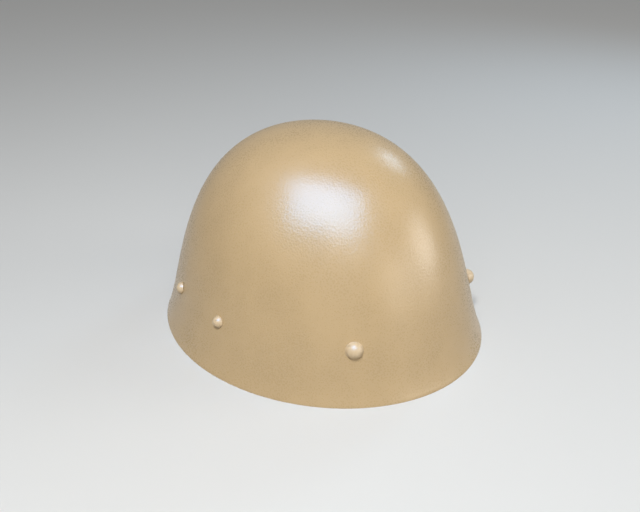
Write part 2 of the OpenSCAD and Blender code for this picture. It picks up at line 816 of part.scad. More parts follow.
module buckle_roller() {
    length = 2 * (side_z - corner_r) - 2 * side_gap;
    color("#b3ac9c")
        on_leg(1)
            translate([toe_reach, 0, 0])
                difference() {
                    cylinder(d = roller_d, h = length, center = true);
                    cylinder(r = wire_d / 2 + run_gap, h = length + 2 * over, center = true);
                }
}

module buckle_tongue() {
    color("#a8a192")
        on_leg(1)
            translate([heel_reach, 0, 0])
                difference() {
                    union() {
                        cylinder(r = eye_r, h = eye_w, center = true);
                        translate([0, pin_foot, 0])
                            rotate([0, 90, pin_rise]) {
                                cylinder(d = pin_d, h = pin_length);
                                translate([0, 0, pin_length]) sphere(d = pin_d);
                            }
                    }
                    cylinder(r = wire_d / 2 + run_gap, h = eye_w + 2 * over, center = true);
                }
}

helmet_shell();
shell_rivet(front_rivet_angle, large_head_d, large_head_h, spring_t);  // front_left_liner_rivet
shell_rivet(-front_rivet_angle, large_head_d, large_head_h, spring_t);  // front_right_liner_rivet
shell_rivet(rear_rivet_angle, small_head_d, small_head_h, spring_t);  // rear_left_liner_rivet
shell_rivet(-rear_rivet_angle, small_head_d, small_head_h, spring_t);  // rear_right_liner_rivet
shell_rivet(90, small_head_d, small_head_h, lug_t);  // left_chinstrap_rivet
shell_rivet(-90, small_head_d, small_head_h, lug_t);  // right_chinstrap_rivet
shell_rivet_washers();
leaf_spring(front_rivet_angle);  // front_left_leaf_spring
leaf_spring(-front_rivet_angle);  // front_right_leaf_spring
leaf_spring(rear_rivet_angle);  // rear_left_leaf_spring
leaf_spring(-rear_rivet_angle);  // rear_right_leaf_spring
liner_band();
spring_pad_rivets();
felt_pad();
leather_liner();
leather_rivets();
drawstring();
drawstring_knot();
strap_lug(1);  // left_strap_lug
strap_lug(-1);  // right_strap_lug
pivot_rivet(1);  // left_pivot_rivet
pivot_rivet(-1);  // right_pivot_rivet
strap_swivel(1);  // left_strap_swivel
strap_swivel(-1);  // right_strap_swivel
chinstrap_long();
chinstrap_short();
strap_rivet();
strap_keeper();
buckle_frame();
buckle_roller();
buckle_tongue();
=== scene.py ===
# %% [markdown]
# # A pressed steel helmet on a sprung leather liner
# The helmet is one deep dome of painted sheet steel that stands on its own rim. Four riveted leaf
# springs carry a leather liner inside it, and a buckled chinstrap lies tucked under the nape.
# The CAD model already fixes every size. Each piece that is made here lies where the CAD piece
# lies, and gives it the finish and the small shapes that a solid leaves out.

# %% Load the frame
import math

import bmesh
import bpy
from mathutils import Matrix, Vector, noise


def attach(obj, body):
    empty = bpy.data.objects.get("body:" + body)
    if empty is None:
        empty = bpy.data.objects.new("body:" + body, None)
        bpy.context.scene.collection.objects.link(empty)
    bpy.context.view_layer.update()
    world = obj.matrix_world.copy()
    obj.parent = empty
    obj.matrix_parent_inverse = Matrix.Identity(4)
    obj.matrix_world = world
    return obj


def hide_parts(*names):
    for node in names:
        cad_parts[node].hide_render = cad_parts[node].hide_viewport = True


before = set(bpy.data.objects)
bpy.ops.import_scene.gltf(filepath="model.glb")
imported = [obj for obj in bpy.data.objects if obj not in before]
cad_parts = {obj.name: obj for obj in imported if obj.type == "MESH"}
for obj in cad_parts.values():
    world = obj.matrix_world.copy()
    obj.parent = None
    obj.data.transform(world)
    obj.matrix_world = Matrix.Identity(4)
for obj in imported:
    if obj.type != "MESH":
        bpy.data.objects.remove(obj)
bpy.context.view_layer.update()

# %% [markdown]
# ## Sizes
# A lesson reads best in the units of the workshop, so sizes are written in millimetres and turned
# to metres by one factor. These values are the CAD model's own. What follows is worked out from
# them, so a piece here and its solid can't drift apart.

# %% Sizes in millimetres
MM = 0.001
WIDTH, LENGTH, HEIGHT = 240, 277, 160
WALL = 1.2
RIM_LEAN = math.radians(24)
RIM_REACH, CROWN_REACH = 42.5, 102.5
STRETCH = LENGTH / WIDTH
OUTLINE = [
    Vector((WIDTH / 2, 0)),
    Vector((WIDTH / 2 - RIM_REACH * math.sin(RIM_LEAN), RIM_REACH * math.cos(RIM_LEAN))),
    Vector((CROWN_REACH, HEIGHT)),
    Vector((0, HEIGHT)),
]


def on_curve(points, t):
    """A point of a cubic curve, t from 0 to 1."""
    a, b, c, d = points
    return a * (1 - t) ** 3 + b * 3 * (1 - t) ** 2 * t + c * 3 * (1 - t) * t**2 + d * t**3


def along_curve(points, t):
    """The direction of the curve at t."""
    a, b, c, d = points
    way = (b - a) * 3 * (1 - t) ** 2 + (c - b) * 6 * (1 - t) * t + (d - c) * 3 * t**2
    return way.normalized()


def at_height(points, z):
    """The t at which a rising curve reaches height z, found by halving."""
    low, high = 0.0, 1.0
    for _ in range(40):
        t = (low + high) / 2
        low, high = (t, high) if on_curve(points, t).y < z else (low, t)
    return low


# %% [markdown]
# ## Camera
# The camera stands a little above the helmet and looks at its right front quarter. The lens and
# the distance come from a fit of the dome's outline and its four visible rivets, so the tiny
# shift only slides the frame by nine pixels.

# %% Camera
VIEW_ANGLE, VIEW_HEIGHT, VIEW_ROLL = -47.2, 27.03, 0.24
VIEW_DISTANCE = 603.76 * MM
VIEW_TARGET = Vector((0, 0, 60 * MM))
LENS, FRAME_SHIFT = 42.06, -0.0145


def look_from(angle, height):
    """A unit vector towards a viewer, in degrees: angle 0 is before the brow, 90 at its left."""
    angle, height = math.radians(angle), math.radians(height)
    flat = math.cos(height)
    return Vector((math.sin(angle) * flat, -math.cos(angle) * flat, math.sin(height)))


bpy.ops.object.select_all(action="DESELECT")
bpy.ops.object.camera_add(location=VIEW_TARGET + VIEW_DISTANCE * look_from(VIEW_ANGLE, VIEW_HEIGHT))
camera = bpy.context.object
camera.name = "camera"
camera.rotation_mode = "QUATERNION"
level = (VIEW_TARGET - camera.location).to_track_quat("-Z", "Y")
roll = Matrix.Rotation(-math.radians(VIEW_ROLL), 4, "Z").to_quaternion()
camera.rotation_quaternion = level @ roll
camera.data.lens = LENS
camera.data.shift_y = FRAME_SHIFT
camera.data.clip_start, camera.data.clip_end = 0.01, 50
bpy.context.scene.camera = camera

# %% [markdown]
# ## Light
# Satin paint shows its light sources as soft patches. A wide panel of sky light, high over the
# viewer's shoulder, makes the main patch on the dome, and a low one makes a faint band beside the
# brow. Both show in reflections only. The key and the fill do the opposite: they light the paint
# and leave no patch. A side and a brow panel add two small patches. One more lamp lies under the
# floor and lights the liner through the floor's opening. The world is an even grey.

# %% Lamps and world
LAMP_TARGET = Vector((-30, -45, 110)) * MM
WORLD_GREY = 0.33
NORTH_SKY, HIGH_CLOUD, BLUE_SKY = (0.22, 0.51, 1.0), (0.95, 0.97, 1.0), (0.56, 0.78, 1.0)
WARM_WHITE = (1.0, 0.97, 0.92)
# Name, angle and height in degrees, distance and size in metres, watts, tint, rays that miss it.
PANELS = (
    ("key_panel", -58, 53, 1.1, (0.2, 0.2), 9.3, HIGH_CLOUD, "glossy"),
    ("sheen_panel", -62, 62, 1.0, (1.1, 0.8), 37, NORTH_SKY, "diffuse"),
    ("side_panel", 95, 30, 1.2, (0.28, 0.28), 1.5, BLUE_SKY, None),
    ("brow_panel", 42, 14, 1.3, (0.55, 0.55), 3.4, WARM_WHITE, None),
    ("fill_panel", -50, 12, 1.4, (0.9, 0.9), 4.8, WARM_WHITE, "glossy"),
    ("low_panel", 18, 9, 1.5, (1.7, 0.55), 7.5, WARM_WHITE, "diffuse"),
    ("under_panel", 0, -84, 1.3, (0.5, 0.5), 9, WARM_WHITE, "camera"),
)
for name, angle, height, distance, size, watts, tint, unseen in PANELS:
    way = look_from(angle, height)
    bpy.ops.object.light_add(type="AREA", location=LAMP_TARGET + way * distance)
    lamp = bpy.context.object
    lamp.name = name
    lamp.rotation_mode = "QUATERNION"
    lamp.rotation_quaternion = (-way).to_track_quat("-Z", "Y")
    lamp.data.shape = "RECTANGLE"
    lamp.data.size, lamp.data.size_y = size
    lamp.data.energy, lamp.data.color = watts, tint
    if unseen:
        setattr(lamp, "visible_" + unseen, False)

world = bpy.data.worlds.new("studio")
bpy.context.scene.world = world
world.use_nodes = True
backdrop = world.node_tree.nodes["Background"].inputs
backdrop["Color"].default_value = (1.0, 1.0, 1.0, 1.0)
backdrop["Strength"].default_value = WORLD_GREY
bpy.context.scene.view_settings.view_transform = "Standard"

# %% [markdown]
# ## Shader arithmetic
# A material is a small sum: a bit of noise here, less of it near an edge there. Written as nodes
# that sum is hard to read, so one class wraps a node's output and lets Python's own plus, minus
# and times add the Math nodes. One method adds every other kind of node.

# %% A socket that can be added and multiplied


class Signal:
    """One output of a node. Arithmetic on it adds Math nodes to its tree."""

    def __init__(self, finish, socket):
        self.finish, self.socket = finish, socket

    def math(self, operation, *values):
        return self.finish.node("Math", {"operation": operation}, dict(enumerate(values)))

    def __add__(self, other):
        return self.math("ADD", self, other)

    def __mul__(self, other):
        return self.math("MULTIPLY", self, other)

    def __sub__(self, other):
        return self.math("SUBTRACT", self, other)

    def __rsub__(self, other):
        return self.math("SUBTRACT", other, self)

    __radd__, __rmul__ = __add__, __mul__

    def band(self, low, high):
        """0 below low, 1 above high, and a soft step between them."""
        return self.finish.node("MapRange", {"interpolation_type": "SMOOTHSTEP"}, {
            "Value": self, "From Min": low, "From Max": high, "To Min": 0.0, "To Max": 1.0,
        })


class Finish:
    """A material in the making."""

    def __init__(self, name):
        self.material = bpy.data.materials.new(name)
        self.material.use_nodes = True
        self.tree = self.material.node_tree
        self.tree.nodes.clear()
        self.place = self.node("TexCoord", output="Object")

    def node(self, kind, settings=None, values=None, output=0):
        """Adds a shader node: its settings first, then the values or links of its sockets."""
        node = self.tree.nodes.new("ShaderNode" + kind)
        for name, value in (settings or {}).items():
            setattr(node, name, value)
        for name, value in (values or {}).items():
            if isinstance(value, Signal):
                self.tree.links.new(value.socket, node.inputs[name])
            else:
                node.inputs[name].default_value = value
        return Signal(self, node.outputs[output]) if len(node.outputs) else None

    def attribute(self, name):
        """A value that each point of a piece carries."""
        return self.node("Attribute", {"attribute_name": name}, output="Fac")

    def noise(self, size, detail=2.0, roughness=0.5, place=None, output="Fac"):
        """Noise from 0 to 1 whose lumps are about size millimetres across."""
        return self.node("TexNoise", {}, {
            "Vector": place or self.place, "Scale": 1 / (size * MM),
            "Detail": detail, "Roughness": roughness,
        }, output)

    def cells(self, size, feature="F1", place=None):
        """Distance to the nearest of many scattered points, about size millimetres apart."""
        return self.node("TexVoronoi", {"feature": feature}, {
            "Vector": place or self.place, "Scale": 1 / (size * MM),
        }, "Distance")

    def stretched(self, scale):
        """The place on the piece, drawn out along an axis so that a pattern runs that way."""
        return self.node("Mapping", {}, {"Vector": self.place, "Scale": scale})

    def mix(self, amount, low, high):
        """A colour between two colours."""
        return self.node("Mix", {"data_type": "RGBA"}, {0: amount, 6: low, 7: high}, output=2)

    def bump(self, height, depth, before=None):
        """A surface raised by depth millimetres where height is 1."""
        values = {"Height": height, "Distance": depth * MM, "Strength": 1.0}
        if before is not None:
            values["Normal"] = before
        return self.node("Bump", {}, values)

    def done(self, gloss=0.5, **values):
        """Ends the material with one shader. Names are its sockets', with _ for a space."""
        named = {name.replace("_", " "): value for name, value in values.items()}
        named["Specular IOR Level"] = gloss
        shader = self.node("BsdfPrincipled", {}, named)
        self.node("OutputMaterial", {}, {"Surface": shader})
        return self.material


def srgb(*levels):
    """A colour given as red, green and blue from 0 to 255, as a shader wants it."""
    parts = [v / 255 for v in levels]
    return tuple(v / 12.92 if v <= 0.04045 else ((v + 0.055) / 1.055) ** 2.4 for v in parts) + (1.0,)


def tinted(colour, factor):
    """A colour made lighter or darker by a factor."""
    return tuple(min(1.0, v * factor) for v in colour[:3]) + (1.0,)


# %% [markdown]
# ## Tools for making pieces
# Most of the metal here is either turned or bent from strip. A turned piece starts as a chain of
# points, drawn by extruding one vertex again and again, and is spun round the upright axis. The
# helpers work in millimetres and leave each finished piece at the origin, with its place in its
# mesh.

# %% Moves, chains and spins
ROUND = 2 * math.pi


def shift(x=0.0, y=0.0, z=0.0):
    """A move by millimetres."""
    return Matrix.Translation((x * MM, y * MM, z * MM))


def turn_by(angle, axis):
    """A turn by radians."""
    return Matrix.Rotation(angle, 4, axis)


def scale_by(x, y, z):
    """A stretch along the three axes."""
    return Matrix.Diagonal((x, y, z, 1))


QUARTER = math.pi / 2
ACROSS, THROUGH = turn_by(QUARTER, "Y"), turn_by(QUARTER, "X")


def put(piece, place):
    """Moves a piece's mesh to a place. A mirrored place turns its faces the right way again."""
    piece.data.transform(place)
    if place.determinant() < 0:
        piece.data.flip_normals()
    return piece


def activate(*pieces):
    """Selects these pieces alone, and makes the first of them the active one."""
    bpy.ops.object.select_all(action="DESELECT")
    for piece in pieces:
        piece.select_set(True)
    if pieces:
        bpy.context.view_layer.objects.active = pieces[0]


def edit(piece):
    """Opens a piece's mesh with all of it selected."""
    activate(piece)
    bpy.ops.object.mode_set(mode="EDIT")
    bpy.ops.mesh.select_all(action="SELECT")


def close_mesh():
    """Turns all faces outwards and leaves edit mode."""
    bpy.ops.mesh.select_all(action="SELECT")
    bpy.ops.mesh.normals_make_consistent(inside=False)
    bpy.ops.object.mode_set(mode="OBJECT")


def weld(reach=0.01):
    """Makes one of points that lie within reach of each other."""
    bpy.ops.mesh.select_all(action="SELECT")
    bpy.ops.mesh.remove_doubles(threshold=reach * MM)


def start_piece(name, first):
    """A new mesh of a single vertex, left in edit mode with that vertex selected."""
    activate()
    bpy.ops.mesh.primitive_plane_add(size=MM, location=(0, 0, 0))
    piece = bpy.context.object
    piece.name = piece.data.name = name
    bpy.ops.object.mode_set(mode="EDIT")
    bpy.ops.mesh.select_mode(type="VERT")
    bpy.ops.mesh.select_all(action="SELECT")
    bpy.ops.mesh.merge(type="CENTER")
    bpy.ops.transform.translate(value=Vector(first) * MM)
    return piece


def chain(points):
    """Extrudes the selected vertex from point to point."""
    for here, there in zip(points, points[1:]):
        step = (Vector(there) - Vector(here)) * MM
        bpy.ops.mesh.extrude_region_move(TRANSFORM_OT_translate={"value": step})


def select(piece, test, edges=False):
    """Selects only the vertices, or edges by their middle, whose place in millimetres passes."""
    bpy.ops.mesh.select_mode(type="EDGE" if edges else "VERT")
    bpy.ops.mesh.select_all(action="DESELECT")
    mesh = bmesh.from_edit_mesh(piece.data)
    for part in mesh.edges if edges else mesh.verts:
        middle = (part.verts[0].co + part.verts[1].co) / 2 if edges else part.co
        part.select_set(bool(test(middle / MM)))
    mesh.select_flush_mode()
    bmesh.update_edit_mesh(piece.data)


def bevel(width, segments, affect="VERTICES"):
    """Rounds the selected corners or edges of the open mesh."""
    bpy.ops.mesh.bevel(offset=width * MM, segments=segments, affect=affect)


def spin_shut(steps):
    """Spins the whole chain once round the upright axis and closes the seam."""
    bpy.ops.mesh.select_all(action="SELECT")
    bpy.ops.mesh.spin(steps=steps, angle=ROUND, center=(0, 0, 0), axis=(0, 0, 1))
    weld()
    bpy.ops.mesh.normals_make_consistent(inside=False)


def stretch(x, y, z):
    """Stretches what is selected in the open mesh about the origin."""
    bpy.ops.transform.resize(value=(x, y, z), center_override=(0, 0, 0))


def turned(name, points, sides):
    """A piece spun from a chain of points, each (radius, 0, height) in millimetres."""
    piece = start_piece(name, points[0])
    chain(points)
    spin_shut(sides)
    bpy.ops.object.mode_set(mode="OBJECT")
    return piece


def mesh_piece(name, corners, faces, edge=None, reach=0.0):
    """A piece from corners and faces. edge is how near each corner is to a cut edge, 0 to 1."""
    mesh = bpy.data.meshes.new(name)
    mesh.from_pydata([corner * MM for corner in corners], [], faces)
    if edge is not None:
        mesh.attributes.new("edge", "FLOAT", "POINT").data.foreach_set("value", edge)
    piece = bpy.data.objects.new(name, mesh)
    bpy.context.collection.objects.link(piece)
    edit(piece)
    if reach:
        weld(reach)
    close_mesh()
    return piece


# %% Modifiers, cutting and finishing


def apply(piece, kind, **settings):
    """Gives a piece a modifier with its values, and applies it at once."""
    modifier = piece.modifiers.new(kind.lower(), kind)
    for name, value in settings.items():
        setattr(modifier, name, value)
    activate(piece)
    bpy.ops.object.modifier_apply(modifier=modifier.name)


def thicken(piece, thickness, offset=0):
    """Gives a sheet its thickness: half to each side, or inwards with an offset of -1."""
    apply(piece, "SOLIDIFY", thickness=thickness * MM, offset=offset, use_even_offset=True)


def soften(piece, width, segments=2, limit=1.0):
    """Rounds the edges that turn by more than a limit in radians."""
    apply(piece, "BEVEL", width=width * MM, segments=segments, limit_method="ANGLE", angle_limit=limit)


def cut(piece, tool, operation="DIFFERENCE"):
    """Takes a tool's shape from a piece, or adds it, and removes the tool."""
    apply(piece, "BOOLEAN", operation=operation, object=tool, solver="EXACT")
    bpy.data.objects.remove(tool)


def block(place, x, y, z):
    """A box as a cutter, its middle at a place and its sides in millimetres."""
    activate()
    bpy.ops.mesh.primitive_cube_add(size=1)
    return put(bpy.context.object, place @ scale_by(x * MM, y * MM, z * MM))


def joined(name, pieces):
    """Several pieces as one."""
    activate(*pieces)
    if len(pieces) > 1:
        bpy.ops.object.join()
    pieces[0].name = pieces[0].data.name = name
    return pieces[0]


def drill(piece, places, radius, depth=16, sides=24):
    """Takes round holes out of a piece. A place's Z is the drill's axis."""
    rods = []
    for place in places:
        activate()
        bpy.ops.mesh.primitive_cylinder_add(vertices=sides, radius=radius * MM, depth=depth * MM)
        rods.append(bpy.context.object)
        rods[-1].data.transform(place)
    cut(piece, joined("cutter", rods))


def copy_to(pattern, name, place):
    """A copy of a pattern with its own mesh, moved to a place."""
    twin = pattern.copy()
    twin.data = pattern.data.copy()
    twin.name = twin.data.name = name
    bpy.context.collection.objects.link(twin)
    return put(twin, place)


def finish_piece(piece, material, nodes, body="helmet", crease=40):
    """Shades and paints a piece, hides the CAD pieces it stands for, and hangs it on its body."""
    activate(piece)
    bpy.ops.object.shade_smooth_by_angle(angle=math.radians(crease))
    piece.data.materials.clear()
    piece.data.materials.append(material)
    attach(piece, body)
    if nodes:
        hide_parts(*nodes)
    print(piece.name, sum(len(face.vertices) - 2 for face in piece.data.polygons), "triangles")
    return piece


# %% [markdown]
# ## Floor
# The helmet stands on a plain pale sheet. The sheet has an oval opening that the helmet covers,
# and it is seen from above only, so a viewer below looks straight into the lit liner. Light that
# the sheet throws back at the helmet is darker than the sheet looks, as if from a deep room.

# %% Floor
FLOOR_REACH, FLOOR_SIDES = 32, 96
HOLE_X, HOLE_Y = 119.2, 137.7
floor_finish = Finish("pale_floor")
bounced = floor_finish.node("LightPath", output="Is Diffuse Ray")
tone = floor_finish.mix(bounced, srgb(222, 222, 220), srgb(108, 108, 106))
pale = floor_finish.node("BsdfDiffuse", {}, {"Color": tone})
clear = floor_finish.node("BsdfTransparent")
from_below = floor_finish.node("NewGeometry", output="Backfacing")
sheet = floor_finish.node("MixShader", {}, {0: from_below, 1: pale, 2: clear})
floor_finish.node("OutputMaterial", {}, {"Surface": sheet})
activate()
bpy.ops.mesh.primitive_circle_add(vertices=FLOOR_SIDES, radius=1, location=(0, 0, 0))
floor = bpy.context.object
edit(floor)
stretch(HOLE_X * MM, HOLE_Y * MM, 1)
bpy.ops.mesh.extrude_edges_move()
stretch(FLOOR_REACH, FLOOR_REACH, 1)
close_mesh()
if floor.data.polygons[0].normal.z < 0:
    floor.data.flip_normals()
floor.name = "floor"
floor.data.materials.append(floor_finish.material)

# %% [markdown]
# ## Khaki enamel
# The shell is sprayed with a light khaki enamel. From a step away it is one colour. Close by it
# has a fine orange skin from the spray gun, paler dust in the film, a few tiny nibs, and soft
# streaks where the steel was drawn down over the die. The skin is what breaks the edge of the
# highlight into grain, so it is a real bump. Its cells have the same fineness on every side of
# the dome. The rivet heads get the same enamel made lighter: painted light, so that the domes
# look lit. The inner ends of the rivets are bare steel, marked by a value on their points.

# %% Khaki enamel
# The rivets' khaki is the shell's khaki made lighter: painted light, so that their domes look lit.
KHAKI, LIT_KHAKI, BARE_STEEL = srgb(195, 168, 126), srgb(214, 190, 154), srgb(150, 147, 140)


def enamel(name, colour, gloss, bare=False):
    paint = Finish(name)
    clouds = paint.noise(38, detail=3.0)
    streaks = paint.noise(16, place=paint.stretched((1.0, 1.0, 0.18)))
    grain = paint.cells(1.5)
    dust = paint.cells(7.5).band(0.065, 0.03)
    tone = paint.mix(clouds.band(0.3, 0.7), tinted(colour, 0.955), tinted(colour, 1.03))
    tone = paint.mix(streaks.band(0.35, 0.8) * 0.35, tone, tinted(colour, 1.07))
    tone = paint.mix(grain.band(0.35, 0.75) * 0.05, tone, tinted(colour, 0.88))
    tone = paint.mix(dust * 0.35, tone, tinted(colour, 1.25))
    skin = paint.bump(grain, 0.07)
    waves = paint.bump(paint.noise(3.0, detail=1.0), 0.05, skin)
    nibs = paint.bump(dust, 0.05, waves)
    rough = gloss + (clouds - 0.5) * 0.08 + (grain - 0.5) * 0.10
    shine = 0.0
    if bare:
        shine = paint.attribute("bare")
        tone = paint.mix(shine, tone, BARE_STEEL)
    return paint.done(gloss=0.55, Base_Color=tone, Roughness=rough, Metallic=shine, Normal=nibs)


shell_paint = enamel("shell_enamel", KHAKI, gloss=0.29)
# The rivet enamel uses the lighter khaki, painted light on the heads.
rivet_paint = enamel("rivet_enamel", LIT_KHAKI, gloss=0.38, bare=True)

# %% [markdown]
# ## The shell
# The dome is one sheet of steel, so it is made as one skin that then gets its thickness. Its
# outline is a single curve with two handles, exactly as a curve object stores it. The curve is
# turned to a chain of points, spun, and stretched to the length of a head. The solidify modifier
# grows the wall inwards. That leaves the rim tipped, as the wall leans, so the rim's points are
# pressed flat onto the plane that the helmet stands on, and its two edges get a hair of a round.

# %% Spin the dome
SHELL_ROWS, SHELL_SIDES = 56, 180

activate()
bpy.ops.curve.primitive_bezier_curve_add(location=(0, 0, 0))
shell = bpy.context.object
shell.name = "shell"
shell.data.resolution_u = SHELL_ROWS
rim, rim_handle, crown_handle, crown = OUTLINE
for knot, *places in zip(
    shell.data.splines[0].bezier_points,
    (rim, crown), (2 * rim - rim_handle, crown_handle), (rim_handle, 2 * crown - crown_handle),
):
    knot.handle_left_type = knot.handle_right_type = "FREE"
    knot.co, knot.handle_left, knot.handle_right = (Vector((p.x, 0, p.y)) * MM for p in places)
bpy.ops.object.convert(target="MESH")
bpy.ops.object.mode_set(mode="EDIT")
spin_shut(SHELL_SIDES)
bpy.ops.mesh.select_all(action="SELECT")
stretch(1, STRETCH, 1)
close_mesh()
print("dome skin:", len(shell.data.vertices), "points, top at", round(shell.dimensions.z / MM, 2))

# %% Give it a wall and a flat rim
RIM_ROUND = 0.25
thicken(shell, WALL, offset=-1)
edit(shell)
select(shell, lambda at: at.z < 0.02)
stretch(1, 1, 0)
select(shell, lambda at: abs(at.z) < 0.001, edges=True)
mesh = bmesh.from_edit_mesh(shell.data)
for edge in mesh.edges:
    if edge.select and all(abs(face.normal.z) > 0.9 for face in edge.link_faces):
        edge.select_set(False)
bmesh.update_edit_mesh(shell.data)
bevel(RIM_ROUND, 2, "EDGES")
bpy.ops.object.mode_set(mode="OBJECT")

# %% [markdown]
# ## Rivets through the shell
# Six rivets show: a large domed one at each side of the brow, and four small ones further back.
# Each is turned once as a profile, with its dome, shank and upset tail, and copied to its place.
# A rivet stands square to the wall, so its direction comes from the outline's own slope.

# %% Where the rivets stand
RIVET_HEIGHT = 40
RIVET_T = at_height(OUTLINE, RIVET_HEIGHT)
WALL_R = on_curve(OUTLINE, RIVET_T).x
SLOPE = along_curve(OUTLINE, RIVET_T)
FRONT, REAR, SIDE = 40, 118, 90
SPRING_POSTS = {"front_left": FRONT, "front_right": -FRONT, "rear_left": REAR, "rear_right": -REAR}
LUG_POSTS = {"left": SIDE, "right": -SIDE}


def wall_plan(angle):
    """The plan place of a rivet and the wall's outward slope there, angle in degrees from the brow."""
    turn = math.radians(angle)
    at = Vector((WALL_R * math.sin(turn), -STRETCH * WALL_R * math.cos(turn), 0))
    return at, Vector((math.sin(turn), -math.cos(turn) / STRETCH, 0))


def wall_place(angle):
    """The frame of a rivet: its Z points out of the wall."""
    at, plan = wall_plan(angle)
    at.z = RIVET_HEIGHT
    out = (plan + Vector((0, 0, -SLOPE.x / SLOPE.y))).normalized()
    side = Vector((0, 0, 1)).cross(out).normalized()
    return Matrix.Translation(at * MM) @ Matrix((side, out.cross(side), out)).transposed().to_4x4()


# %% Turn the rivets
SHANK, TAIL_D, TAIL_H, WASHER_T = 5, 8, 1.8, 1.0
SEAT_GAP, SPRING_T, LUG_T = 0.6, 1.0, 1.5
BIG_HEAD, SMALL_HEAD = (13, 5.4), (9.6, 4.2)
LIP, HEAD_LIFT, RIVET_SIDES = 0.35, 0.001, 48


def dome(width, height, base=0.0, steps=12):
    """Points from the foot of a domed cap to its top. base is its foot's height."""
    ball = (width**2 / 4 + height**2) / (2 * height)
    half = math.asin(min(1.0, width / 2 / ball))
    if height > ball:
        half = math.pi - half
    turns = [half * (1 - i / steps) for i in range(steps + 1)]
    return [(ball * math.sin(t), 0, base + height - ball + ball * math.cos(t)) for t in turns]


def sunk(points, depth):
    """The same points upside down, below a depth."""
    return [(x, 0, -depth - z) for x, _, z in points]


def shell_rivet(name, head_size, stack):
    """A rivet that stands on Z = 0: its dome above, its shank and upset tail below."""
    width, height = head_size
    grip = WALL + SEAT_GAP + stack + WASHER_T
    head = dome(width - 2 * LIP * 0.6, height, HEAD_LIFT)
    foot = [(width / 2 - LIP, 0, 0), (width / 2 - 0.1, 0, 0.12), (width / 2 - 0.05, 0, LIP)]
    rise = [p for p in head if p[2] > LIP + 0.25]
    stem = [(SHANK / 2, 0, 0), (SHANK / 2, 0, -grip)]
    piece = turned(name, rise[::-1] + foot[::-1] + stem + sunk(dome(TAIL_D, TAIL_H), grip), RIVET_SIDES)
    shine = [1.0 if point.co.z < -MM else 0.0 for point in piece.data.vertices]
    piece.data.attributes.new("bare", "FLOAT", "POINT").data.foreach_set("value", shine)
    return piece


big = shell_rivet("big", BIG_HEAD, SPRING_T)
small = shell_rivet("small", SMALL_HEAD, SPRING_T)
strap = shell_rivet("strap", SMALL_HEAD, LUG_T)
posts = [(f"{side}_liner_rivet", small if "rear" in side else big, angle)
         for side, angle in SPRING_POSTS.items()]
posts += [(f"{side}_chinstrap_rivet", strap, angle) for side, angle in LUG_POSTS.items()]
for name, pattern, angle in posts:
    rivet = copy_to(pattern, "painted_" + name, wall_place(angle))
    finish_piece(rivet, rivet_paint, [name])
for pattern in (big, small, strap):
    bpy.data.objects.remove(pattern)

# %% [markdown]
# ## Rivet holes
# A rivet passes through a drilled hole, and the holes are drilled here as well: one cutter of six
# rods, taken away from the wall by a boolean. The holes are hidden by the heads, and the wall
# keeps its smooth shading up to their edge.

# %% Drill the shell
DRILL_R, DRILL_REACH = 2.55, 20
drill(shell, [wall_place(angle) for _, _, angle in posts], DRILL_R, DRILL_REACH)
finish_piece(shell, shell_paint, ["helmet_shell"], crease=35)

# %% [markdown]
# ## Steel finishes
# The liner's hardware is bare or thinly plated, never chromed. Drawn lines run along each strip,
# and a cloudy stain dulls it where damp has settled. Blued spring steel is darker, and the band
# is soft grey metal with the marks of its rolling.

# %% Steel finishes


def metal(name, colour, shine, along=(1, 1, 1), stained=0.6, rust=0.0):
    """Bare metal with fine drawn lines, a stain, and specks of rust."""
    bare = Finish(name)
    lines = bare.noise(0.35, place=bare.stretched(along))
    stain = bare.noise(7, detail=5.0, roughness=0.65)
    pits = bare.noise(0.9, detail=3.0)
    patch = stain.band(0.42, 0.75) * stained
    tone = bare.mix(patch, colour, tinted(colour, 0.5))
    tone = bare.mix(lines.band(0.3, 0.7) * 0.2, tone, tinted(colour, 1.3))
    spots = (pits + stain * 0.6).band(0.86, 1.0) * rust
    tone = bare.mix(spots, tone, RUST)
    surface = bare.bump(pits, 0.015, bare.bump(lines, 0.010))
    rough = shine + lines * 0.10 + patch * 0.25 + spots * 0.3
    return bare.done(Base_Color=tone, Metallic=1.0 - spots, Roughness=rough, Normal=surface)


RUST = srgb(112, 74, 46)
STRIP_LINES, ROLLED_LINES = (0.15, 0.15, 0.15), (0.06, 0.06, 1.6)
plain_steel = metal("plain_steel", srgb(172, 170, 164), 0.26, rust=0.5)
spring_steel = metal("spring_steel", srgb(118, 119, 126), 0.28, STRIP_LINES, stained=0.7, rust=0.6)
band_metal = metal("band_metal", srgb(192, 192, 188), 0.30, ROLLED_LINES, stained=0.35)
fitting_steel = metal("fitting_steel", srgb(180, 175, 162), 0.24, rust=0.35)

# %% [markdown]
# ## Washers under the rivets
# Inside the shell each rivet's tail is hammered down over a washer. A washer is a flat ring with
# broken edges, so it is turned like a rivet.

# %% Washers
WASHER_D = 11


def ring_outline(bore, rim, low, top, *steps):
    """The outline of a flat ring. Its outer edges are cut in steps, each (inwards, along)."""
    upper = [(rim - inwards, 0, top - along) for inwards, along in steps]
    lower = [(rim - inwards, 0, low + along) for inwards, along in reversed(steps)]
    return [(bore, 0, top)] + upper + lower + [(bore, 0, low), (bore, 0, top)]


def nick(depth):
    """The steps of an edge that is broken once."""
    return (depth, 0), (0, depth)


washers = []
for stack, places in ((SPRING_T, SPRING_POSTS), (LUG_T, LUG_POSTS)):
    top = -(WALL + SEAT_GAP + stack)
    outline = ring_outline(SHANK / 2 + 0.05, WASHER_D / 2, top - WASHER_T, top, *nick(0.18))
    pattern = turned("washer", outline, 40)
    washers += [copy_to(pattern, f"washer_{angle}", wall_place(angle)) for angle in places.values()]
    bpy.data.objects.remove(pattern)
washers = joined("steel_washers", washers)
finish_piece(washers, plain_steel, ["shell_rivet_washers"], crease=30)

